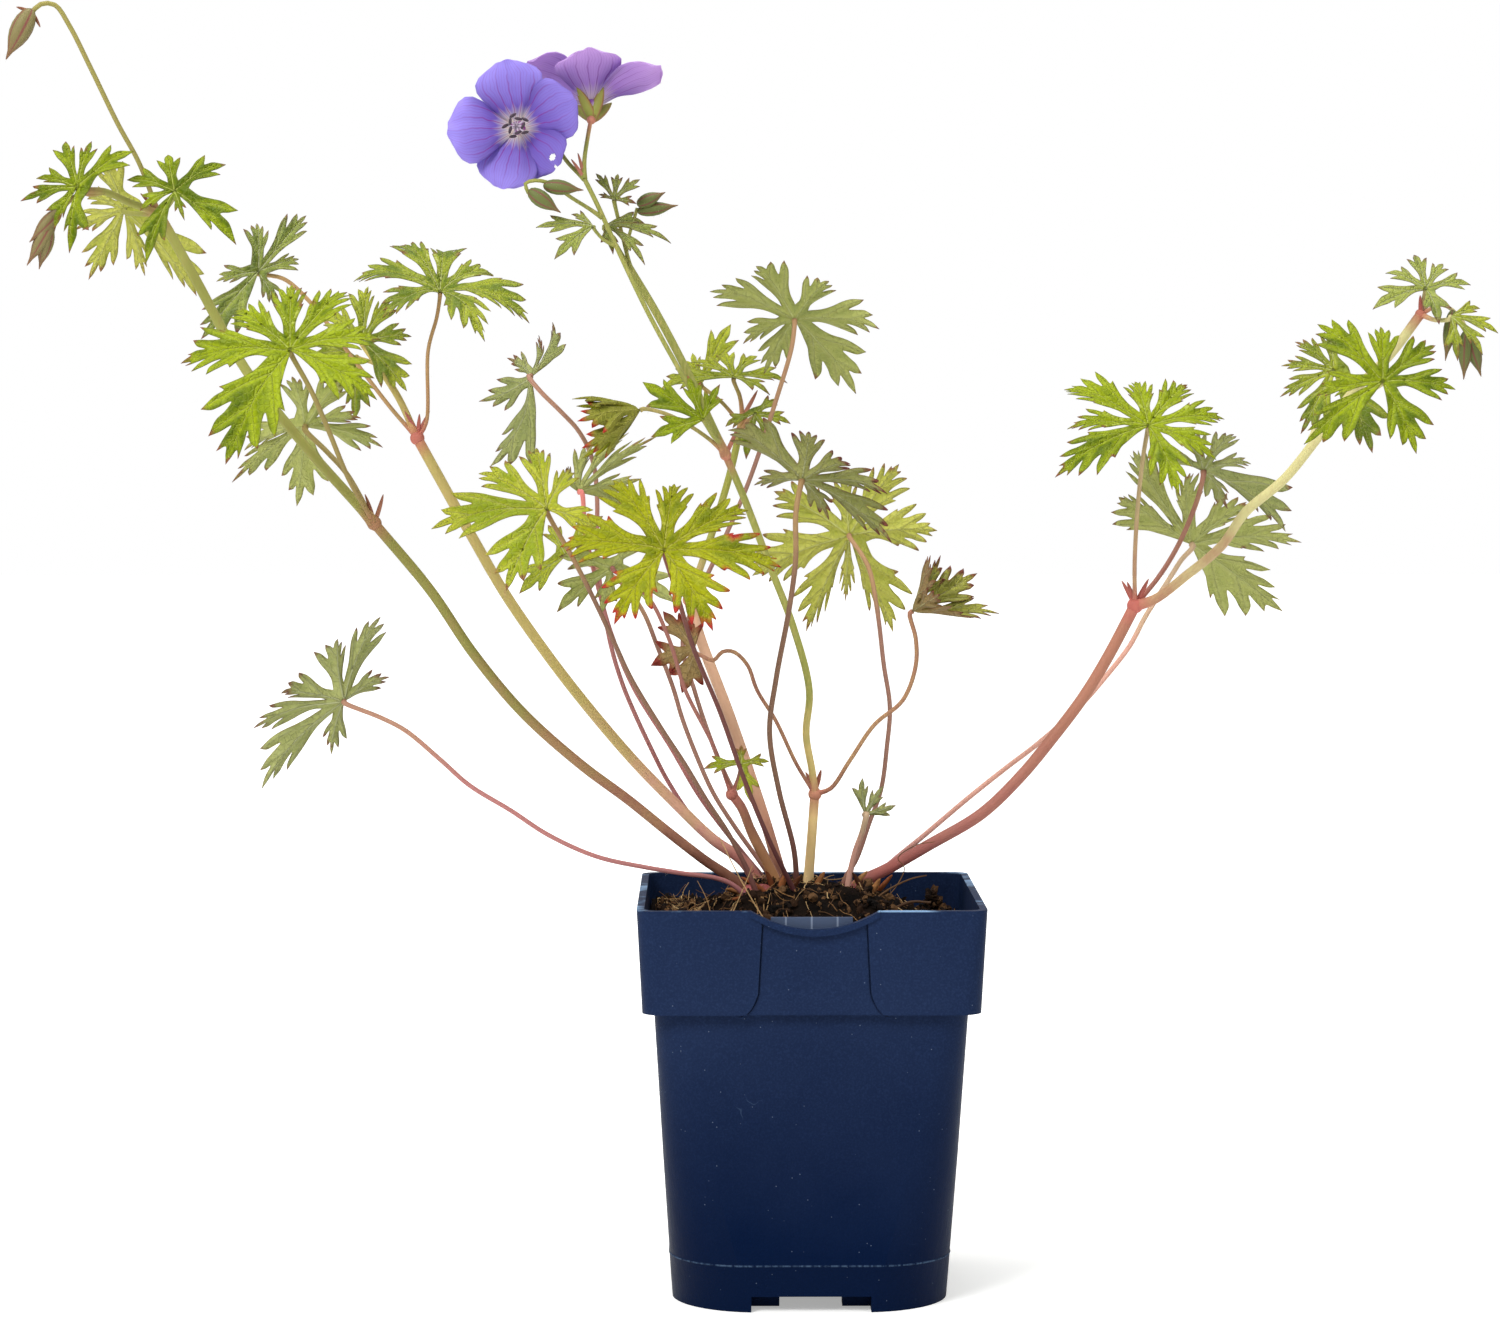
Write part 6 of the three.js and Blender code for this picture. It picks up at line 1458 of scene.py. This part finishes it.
# ---- Flowers ----
# Five broad thin petals round a small disc, each over one neighbour and under the other, violet-blue with
# magenta veins that fan out from a white throat. One faces forward, the other is seen from its side.
# cup bends a petal along its length and lean tips it about its length. Each petal has its tip, its share of
# the full width, and how much painted shade darkens it beyond the palest.
FLOWERS = {
    "corolla_open": {"centre": [-91.5, -44, 372.5], "axis": [-0.1, -1, 0.12], "cup": 0.06, "lean": 0.12,
        "tips": [[-4, -3, 21], [-22, -3, -1], [-5, -4, -19], [12, -5, -13], [18, -4, 9]],
        "widths": [1, 1, 1, 1, 1], "shades": [0, 0, 0.15, 0.5, 0.3]},
    "corolla_side": {"centre": [-69, -35, 380], "axis": [-0.05, 0.6, 0.8], "cup": 0.14, "lean": 0.12,
        "tips": [[-1, -13, 17], [22, -5, 12], [11, 16, 11], [-12, 16, 12], [-21, 1, 13]],
        "widths": [1, 0.68, 0.6, 0.85, 0.8], "shades": [0.1, 0, 0.4, 0.4, 0.1]},
}

# a whole petal's half width on its way out, both in petal lengths
PETAL_ROWS = [
    (0.03, 0.05), (0.08, 0.08), (0.2, 0.17), (0.36, 0.3), (0.52, 0.41), (0.66, 0.48), (0.78, 0.485),
    (0.88, 0.42), (0.95, 0.33), (1, 0.22),
]
PETAL_CURL = -0.05
PETAL_ROUND = 0.09
PETAL_THICK = 0.28
PETAL_GRID = (44, 30)
RUFFLE = 0.018
PETAL_FOLD = 0.006
PETAL_NOTCH = 0.14
DISC = {"radius": 2.6, "half": 2.0}


def petal_blade(flower, number, draw, gaps=()):
    """One petal, less its gaps: it falls back at the edges, and waves most there."""
    tip, centre = np.array(flower["tips"][number], float), np.array(flower["centre"], float)
    full, shade = flower["widths"][number], flower["shades"][number]
    length = np.linalg.norm(tip)
    along = tip / length
    up = unit(np.array(flower["axis"], float))
    up = unit(up - (up @ along) * along)
    out = np.cross(up, along)
    rows, columns = PETAL_GRID
    reach, half = zip(*PETAL_ROWS)
    phase = draw.uniform(0, 6)
    a = np.repeat(reach[0] + (1 - reach[0]) * np.sin(np.linspace(0, math.pi / 2, rows + 1)), columns + 1)
    b = np.tile(np.linspace(-1, 1, columns + 1), rows + 1)
    width = full * np.interp(a, reach, half)
    notch = PETAL_NOTCH * np.maximum(0, a - 0.9) * np.cos(4 * b + phase) ** 2
    back = a * (1 - PETAL_ROUND * b * b - notch)
    ruffle = RUFFLE * np.maximum(abs(b), a) ** 6 * np.sin(22 * b * width + 5 * a + phase)
    fold = PETAL_FOLD * np.cos(13 * b) * np.minimum(1, 3 * a) * (1 - a * 0.5)
    rise = flower["cup"] * 4 * a * (1 - a) + PETAL_CURL * b * b + flower["lean"] * b * width + ruffle + fold
    grid = centre + (np.outer(back, along) + np.outer(b * width, out) + np.outer(rise, up)) * length
    triangles = []
    for low, beside, above, over in squares(rows, columns):
        places = [((a[low] - at) / high) ** 2 + ((b[low] - off) / wide) ** 2 for at, off, high, wide in gaps]
        if not any(place < 1 for place in places):
            triangles += [(low, over, above), (low, above, beside)]
    marks = {"petal": np.stack([a, b, np.full(len(a), shade)], 1)}
    return thickened(grid, triangles, marks, np.full(len(a), PETAL_THICK))


def disc_body(flower):
    centre, axis = np.array(flower["centre"], float), unit(np.array(flower["axis"], float)) * DISC["half"]
    skin, faces, _, _ = lathe(centre - axis, centre + axis, ball_profile(DISC["radius"], 0.01), 20)
    return skin, faces, {"petal": np.zeros((len(skin), 3)), "under": np.zeros(len(skin))}


# the painted shade where petals overlap
PETAL_SHADE = colour(0x4A2E96)
# where a petal was eaten: its number, the place along and across it, and the half lengths of the gap
EATEN = {"corolla_open": [(3, 0.8, 0.17, 0.055, 0.13), (3, 1.0, 0.05, 0.07, 0.1)]}


def petal_material(name, deep, pale, vein, throat):
    look = Look(name)
    along, across, shade = look.mark("petal", "Vector").split()
    tint = (along + look.noise(70.0, 3.0) * 0.6).ramp(0.45, 1.2).blend(deep, pale)
    wobble = across + look.noise(160.0, 2.0).ramp(0.3, 0.7, -0.05, 0.05)
    fan = abs(maths("SINE", wobble * 8.5))
    line = fan.ramp(0.0, 0.34, 1.0, 0.0)
    tint = abs(maths("SINE", wobble * 34.0)).ramp(0.0, 0.5, 0.25, 0.0).blend(tint, vein)
    # painted shade low down along both edges, where a neighbour overlaps and shows through
    tint = (abs(across).ramp(0.35, 0.9) * along.ramp(0.25, 0.8, 0.6, 0.0)).blend(tint, PETAL_SHADE)
    # painted shade, petal by petal
    tint = shade.blend(tint, deep)
    # the throat runs out between the veins in streaks
    throat_end = along + fan.ramp(0.0, 1.0, -0.05, 0.05)
    tint = throat_end.ramp(0.12, 0.36, 1.0, 0.0).blend(tint, throat)
    tint = (line * along.ramp(0.3, 0.8, 1.0, 0.1)).blend(tint, vein)
    see_through(look, tint, 0.45)
    return look.finish(tint, 0.6, 0.25, line * 0.6 + look.noise(2500.0, 2.0) * 0.3, 0.00012)


PETAL_LOOKS = {
    "corolla_open": ("petal violet blue", 0x6E50BC, 0xB2A2F2, 0x94269C, 0xF6EEDC, "petal_blue"),
    "corolla_side": ("petal lilac", 0xB088D4, 0xD8B6EA, 0x8A4AA8, 0xE6DADC, "petal_lilac"),
}
for name, flower in FLOWERS.items():
    title, *codes, slot = PETAL_LOOKS[name]
    draw = random.Random(name)
    gaps = EATEN.get(name, [])
    petals = [petal_blade(flower, k, draw, [gap[1:] for gap in gaps if gap[0] == k]) for k in range(5)]
    corolla = mesh_object(f"{name}_petals", *together([disc_body(flower), *petals]))
    dress(corolla, petal_material(title, *[colour(code) for code in codes]), slot, name)


# ---- Stamens ----
# Ten pale filaments round the style of the open flower, five short and five long, each with a dark brown
# curled anther.
STAMENS = {
    "count": 10, "base": (-91.8, -46.1, 372.8), "spread": 3.4, "rise": 5.2,
    "foot": 0.34, "filament": 0.22, "anther": 1.2, "anther_radius": 0.5,
}
POLLEN = colour(0x6A5560)
STAMEN_LOOKS = {"filament": ("filament white", 0xDCCFE0, 0.5), "anther": ("anther brown", 0x241A2A, 0.8)}


def stamen_parts():
    count, spread, rise = STAMENS["count"], STAMENS["spread"], STAMENS["rise"]
    base = np.array(STAMENS["base"])
    filaments, anthers = [], []
    draw = random.Random("anthers")
    start = base - (0, 0.8, 0)
    for k in range(count):
        angle = 2 * math.pi * k / count
        wide = spread * (1 if k % 2 else 0.65)
        end = base + (wide * math.cos(angle), -rise * (0.7 if k % 2 else 1), wide * math.sin(angle))
        belly = (start + end) / 2 + (0, -0.9, 0)
        points = np.array([*smooth_run([start, belly, end], 0.5), end])
        radii = np.linspace(STAMENS["foot"], STAMENS["filament"], len(points))
        filaments.append(marked(*swept(points, radii, 8)))
        turn = angle + 1.2 + draw.uniform(-0.9, 0.9)
        half = STAMENS["anther"] * np.array([math.cos(turn), 0.0, math.sin(turn)])
        points = np.array([*smooth_run([end - half, end + (0, -0.5, 0), end + half], 0.25), end + half])
        fullness = np.clip(1 - np.linspace(-0.97, 0.97, len(points)) ** 2, 0.02, 1)
        radii = STAMENS["anther_radius"] * np.sqrt(fullness)
        anthers.append(marked(*swept(points, radii, 10)))
    return filaments, anthers


def stamen_material(name, code, rough):
    look = Look(name)
    grain = look.noise(3000.0, 3.0)
    tint = grain.ramp(0.3, 0.7, 0.0, 0.5).blend(colour(code), POLLEN)
    return look.finish(tint, rough, 0.5, grain, 0.0001)


for part, shells in zip(("filament", "anther"), stamen_parts()):
    shown = mesh_object(f"stamen_{part}s", *together(shells))
    dress(shown, stamen_material(*STAMEN_LOOKS[part]), "stamen", "stamens_open")


# ---- Crumbs, straw and crown ----
# What lies on the peat: crumbs of peat and bark, coconut fibres and bits of straw from the potting mix, and
# round the stems' feet the fleshy red crown with the dry scales of last year's growth.
LITTER_EDGE = 49.5
CRUMBS = {"clods": 700, "grains": 1800, "large": 2.1, "medium": 0.8, "small": 0.3}
# small heaps of crumbs: where each stands, how wide and high it is, and how many crumbs it has
HEAPS = [
    ((43, 36), 7.0, 11.5, 280), ((-10, -30), 6.0, 1.5, 60), ((22, -22), 7.0, 2.0, 80),
    ((-34, -34), 9.0, 2.0, 110),
]
FIBRES = {"count": 720, "short": 3.5, "long": 15.0, "thick": 0.24, "thin": 0.09}
# two dead grass stems that cross in front of the crown, root hairs and dark twigs: each one's route, its
# radius and how pale it is
STRAWS = [
    ([(-14, -38, 123), (-19, -37, 131), (-24, -35, 140), (-29, -33, 150)], 0.26, 0.8),
    ([(-27, -36, 122), (-24, -35, 128), (-20.5, -34, 136), (-18.5, -33, 141)], 0.22, 0.8),
    ([(-31, -34, 122), (-33, -33, 130), (-36, -32, 136)], 0.16, 0.7),
    ([(24, -10, 127), (28, -8, 131), (31, -5, 137), (29, -3, 140), (35, -1, 144), (41, 0, 145)], 0.2, 0.3),
    ([(20, -14, 127), (26, -12, 131), (33, -10, 134), (38, -9, 135)], 0.4, 0.2),
    ([(26, -12, 124), (33, -14, 127), (39, -16, 127)], 0.6, 0.1),
]
CROWN_SCALES = [
    ((-20, -14, 129), (-27, -16, 131.5), 3.4), ((-18, -16, 128), (-25, -19, 128.5), 3.0),
    ((-14, -16, 130), (-22, -13, 135), 2.6), ((-10, -14, 130), (-8, -15, 136), 3.6),
    ((-7, -14, 130), (-3, -15, 135.5), 3.4), ((-12, -12, 131), (-14, -13, 137), 3.0),
    ((-5, -13, 130), (-9, -13, 137.5), 3.2), ((2, -6, 131), (5, -7, 136), 2.8),
    ((17, -8, 130), (14, -9, 136), 2.8), ((20, -8, 129), (23, -9, 134), 3.0),
    ((22, -6, 129), (27, -7, 135), 2.4), ((14, -6, 131), (19, -5, 136), 2.6),
]
CROWN_BASES = [
    ((-14, -12, 124), (-21, -13, 132), 3.4), ((-11, -12, 124), (-16, -12, 132.5), 3.0),
    ((11, -6, 124), (17, -5, 132), 3.0), ((-6, -7, 125), (-9, -6, 134), 2.6),
]


def crumb_ball(steps):
    ball = bmesh.new()
    bmesh.ops.create_icosphere(ball, subdivisions=steps, radius=1.0)
    points = np.array([tuple(v.co) for v in ball.verts])
    faces = [tuple(v.index for v in face.verts) for face in ball.faces]
    ball.free()
    return points, faces


def on_the_tab(x, y):
    return TAB["left"] - 2 < x < TAB["right"] + 2 and y < TAB["back"] + 3.5


def crumb_places(draw, count):
    """Places all over the peat, more of them on its left, each with no height above it."""
    places = []
    while len(places) < count:
        x, y = (draw.uniform(-LITTER_EDGE, LITTER_EDGE) for _ in range(2))
        if not on_the_tab(x, y) and (x < 0 or draw.random() < 0.6):
            places.append((x, y, 0.0))
    return places


def heap_places(draw):
    """Places in each heap, with their heights above the peat."""
    for (x, y), wide, high, count in HEAPS:
        for _ in range(count):
            out, way = wide * draw.random() ** 0.7, draw.uniform(0, 2 * math.pi)
            yield x + out * math.cos(way), y + out * math.sin(way), high * (1 - out / wide) * draw.random()


def crumb_parts(draw, places, low, high, steps):
    """A crumb at each place, a ball pushed out of shape."""
    ball, faces = crumb_ball(steps)
    parts = []
    for x, y, above in places:
        size = low + (high - low) * draw.random() ** 3
        seed = Vector([draw.uniform(0, 90) for _ in range(3)])
        rough = np.array([1 + 0.7 * fractal(Vector(p) * 1.6 + seed, 0.7, 2.0, 3) for p in ball])
        turn = np.array(Euler([draw.uniform(0, 6) for _ in range(3)]).to_matrix())
        squash = (draw.uniform(0.6, 1.4), draw.uniform(0.5, 1.0), draw.uniform(0.4, 0.9))
        skin = (ball * rough[:, None] * squash * size) @ turn.T + (x, y, peat_top(x, y) + 0.3 * size + above)
        parts.append(marked(skin, faces, tone=draw.random()))
    return parts


def fibre_parts(draw):
    """Fibres that lie along the peat, each bent a little and with one end that may stand up."""
    parts = []
    while len(parts) < FIBRES["count"]:
        x = draw.uniform(-LITTER_EDGE, draw.choice((-12, LITTER_EDGE)))
        y = draw.uniform(-LITTER_EDGE, LITTER_EDGE)
        way, bow = draw.uniform(0, 2 * math.pi), draw.uniform(-0.5, 0.5)
        length = FIBRES["short"] + (FIBRES["long"] - FIBRES["short"]) * draw.random() ** 2
        lift = draw.choice((0.4, 0.8, 2.5, 5.0)) * draw.random()
        points = []
        for share in np.linspace(0, 1, 7):
            place = (x + math.cos(way) * length * share, y + math.sin(way) * length * share)
            place = np.clip(place, -LITTER_EDGE, LITTER_EDGE)
            points.append((*place, peat_top(*place) + 0.5 + lift * share**2))
            way += bow / 6
        if any(on_the_tab(*point[:2]) for point in points):
            continue
        points = np.array(smooth_run(points, 1.0))
        thick = draw.uniform(FIBRES["thin"], FIBRES["thick"])
        skin, faces = swept(points, np.linspace(thick, thick * 0.5, len(points)), 5)
        parts.append(marked(skin, faces, tone=draw.random()))
    for route, thick, tone in STRAWS:
        points = np.array([*smooth_run(route, 0.8), route[-1]])
        parts.append(marked(*swept(points, np.linspace(thick, thick * 0.6, len(points)), 7), tone=tone))
    return parts


def litter_material(name, dark, middle, pale, rough):
    look = Look(name)
    tone, grain = look.mark("tone"), look.noise(1200.0, 3.0)
    dark = colour(dark)
    tint = tone.ramp(0.1, 0.6).blend(dark, colour(middle))
    tint = tone.ramp(0.6, 0.95).blend(tint, colour(pale))
    tint = grain.ramp(0.4, 0.8, 0.0, 0.4).blend(tint, dark)
    return look.finish(tint, rough, 0.15, grain, 0.0003)


draw = random.Random("litter")
clods = crumb_places(draw, CRUMBS["clods"]) + list(heap_places(draw))
crumbs = crumb_parts(draw, clods, CRUMBS["medium"], CRUMBS["large"], 2)
crumbs += crumb_parts(draw, crumb_places(draw, CRUMBS["grains"]), CRUMBS["small"], CRUMBS["medium"], 1)
crumb_look = litter_material("crumbs of peat and bark", 0x0C0806, 0x2E1D12, 0x664A30, 0.95)
dress(mesh_object("peat_crumbs", *together(crumbs), smooth=False), crumb_look, "peat")
fibre_look = litter_material("straw and fibres", 0x4A3424, 0x946C42, 0xCEAC7A, 0.7)
dress(mesh_object("peat_fibres", *together(fibre_parts(draw))), fibre_look, "peat")

scales = []
for foot, tip, width in CROWN_SCALES:
    skin, faces, _ = scale_blade(foot, tip, 0.6 * width, 0.8)
    scales.append(marked(skin, faces, tone=draw.random()))
scale_look = litter_material("dry scales", 0x4A2A1A, 0x8E4E2A, 0xB88654, 0.6)
dress(mesh_object("crown_scales", *together(scales)), scale_look, "stem")
bases = []
for foot, top, width in CROWN_BASES:
    profile = [(t, width * math.sqrt(max(t * (1 - t), 0.004)) * 2) for t in np.linspace(0, 1, 13)]
    skin, faces, _, _ = lathe(foot, top, profile, 18, 0.06, 7)
    bases.append(marked(skin, faces, sun=0.5, node=0.5, tip=0.5, blush=0.5))
crown_look = stem_material("fleshy crown", *[colour(0x96484C)] * 4, colour(0xB04A58), 0.8)
dress(mesh_object("crown_bases", *together(bases)), crown_look, "stem")


# ---- Hairs ----
# Fine pale down that stands straight out of the stems, the petioles and the buds.
HAIR = {"share": 0.08, "short": 0.5, "long": 1.4, "thick": 0.025, "sunk": 0.1, "lean": 0.25}
HAIR_FEET = ((1, 0), (-0.5, 0.87), (-0.5, -0.87))


def hairs_on(rings, draw):
    """Slim pyramids at random places of a tube, whose rings are given."""
    parts = []
    for below, above in zip(rings, rings[1:]):
        middle = (below.mean(axis=0) + above.mean(axis=0)) / 2
        for low, high in zip(below, above):
            if draw.random() > HAIR["share"]:
                continue
            root = low + (high - low) * draw.random()
            out = unit(root - middle)
            side = unit(np.cross(out, high - low + (0.001, 0.002, 0.0)))
            other = np.cross(out, side)
            way = out + HAIR["lean"] * side * draw.uniform(-1, 1)
            tip = root + way * draw.uniform(HAIR["short"], HAIR["long"])
            base = [root - HAIR["sunk"] * out + HAIR["thick"] * (side * c + other * s) for c, s in HAIR_FEET]
            parts.append((np.array([*base, tip]), [(0, 2, 1), (0, 1, 3), (1, 2, 3), (2, 0, 3)], {}))
    return parts


draw = random.Random("hairs")
hairs = []
for stem in STEMS.values():
    for run in stem["runs"]:
        hairs += hairs_on(run_rings(run), draw)
    for start, end, width in stem["buds"]:
        skin = bud_body(start, end, width)[0]
        hairs += hairs_on(skin.reshape(len(BUD_PROFILE), -1, 3), draw)
for petiole in PETIOLES.values():
    hairs += hairs_on(run_rings({"radius": PETIOLE_RADIUS, **petiole, "rooted": True}), draw)
down = Look("down").finish(colour(0xC8C4A0), 0.5, 0.5)
dress(mesh_object("stem_hairs", *together(hairs)), down, "stem")


# ---- Stage ----
# A plain pale floor, soft studio light from above and both sides, and a bright wall of light behind.
STAGE_WHITE = colour(0xF6F6F4)
FLOOR_HALF = 6000
SKY = {"front": 0.1, "back": 0.6}


def make_floor():
    corners = [(x * FLOOR_HALF, y * FLOOR_HALF, 0) for x, y in ((-1, -1), (1, -1), (1, 1), (-1, 1))]
    floor = mesh_object("floor", corners, [(0, 1, 2, 3)], smooth=False)
    look = Look("floor paper")
    far = Wire(add(look.tree, "ShaderNodeVectorMath", {0: look.where}, operation="LENGTH").outputs["Value"])
    # what the camera sees runs out to white; less than that lights the pot from below
    seen = Wire(add(look.tree, "ShaderNodeLightPath").outputs["Is Camera Ray"])
    glow = {"Emission Color": STAGE_WHITE, "Emission Strength": seen * far.ramp(0.12, 0.9, 0.2, 0.8) + 0.2}
    floor.data.materials.append(look.finish(STAGE_WHITE, 0.9, 0.1, more=glow))
    floor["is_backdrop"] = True


def make_sky():
    """White behind the object and overhead, dimmer in front, and white wherever the camera looks past it."""
    world = bpy.data.worlds.new("studio")
    bpy.context.scene.world = world
    world.use_nodes = True
    tree = world.node_tree
    way = Wire(add(tree, "ShaderNodeTexCoord").outputs["Generated"])
    strength = way.split()[1].ramp(-0.6, 0.5, SKY["front"], SKY["back"])
    seen = Wire(add(tree, "ShaderNodeLightPath").outputs["Is Camera Ray"])
    level = wired(tree, "ShaderNodeMix", {"Factor": seen, "A": strength, "B": 1.0}, data_type="FLOAT")[0]
    background = tree.nodes["Background"].inputs
    feed(background["Color"], (1.0, 1.0, 1.0, 1.0))
    feed(background["Strength"], level)


# each soft box: where it stands and its size in metres, and its power in watts
SOFT_BOXES = {
    "key": ((-0.9, -1.3, 1.5), (0.8, 0.8), 34.0),
    "fill": ((1.2, -1.1, 1.0), (1.0, 1.2), 8.0),
    "top": ((0.0, 0.1, 1.9), (1.2, 0.9), 18.0),
}


def make_lights():
    target = Vector((0.0, 0.0, 0.2))
    for name, (place, (width, height), power) in SOFT_BOXES.items():
        light = bpy.data.lights.new(name, "AREA")
        light.shape, light.size, light.size_y, light.energy = "RECTANGLE", width, height, power
        box = bpy.data.objects.new(name, light)
        box.location = place
        box.rotation_mode = "QUATERNION"
        box.rotation_quaternion = (target - box.location).to_track_quat("-Z", "Y")
        bpy.context.scene.collection.objects.link(box)


CAMERA = {"from_foot": (-31, -1305, 282), "right": 0.526, "down": 3.422, "lens": 96.72}


def make_camera():
    camera = bpy.data.cameras.new("camera")
    camera.lens, camera.sensor_width = CAMERA["lens"], 36
    camera.clip_start, camera.clip_end = 0.05, 50
    seen_from = bpy.data.objects.new("camera", camera)
    seen_from.location = in_row(CAMERA["from_foot"])[0]
    seen_from.rotation_euler = (math.radians(90 - CAMERA["down"]), 0.0, math.radians(-CAMERA["right"]))
    bpy.context.scene.collection.objects.link(seen_from)
    bpy.context.scene.camera = seen_from


make_floor()
make_sky()
make_lights()
make_camera()
bpy.context.scene.view_settings.view_transform = "Standard"

boxes = {"cad": cad_box, "visual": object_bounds()}
{name: [list(corner) for corner in box] for name, box in boxes.items()}
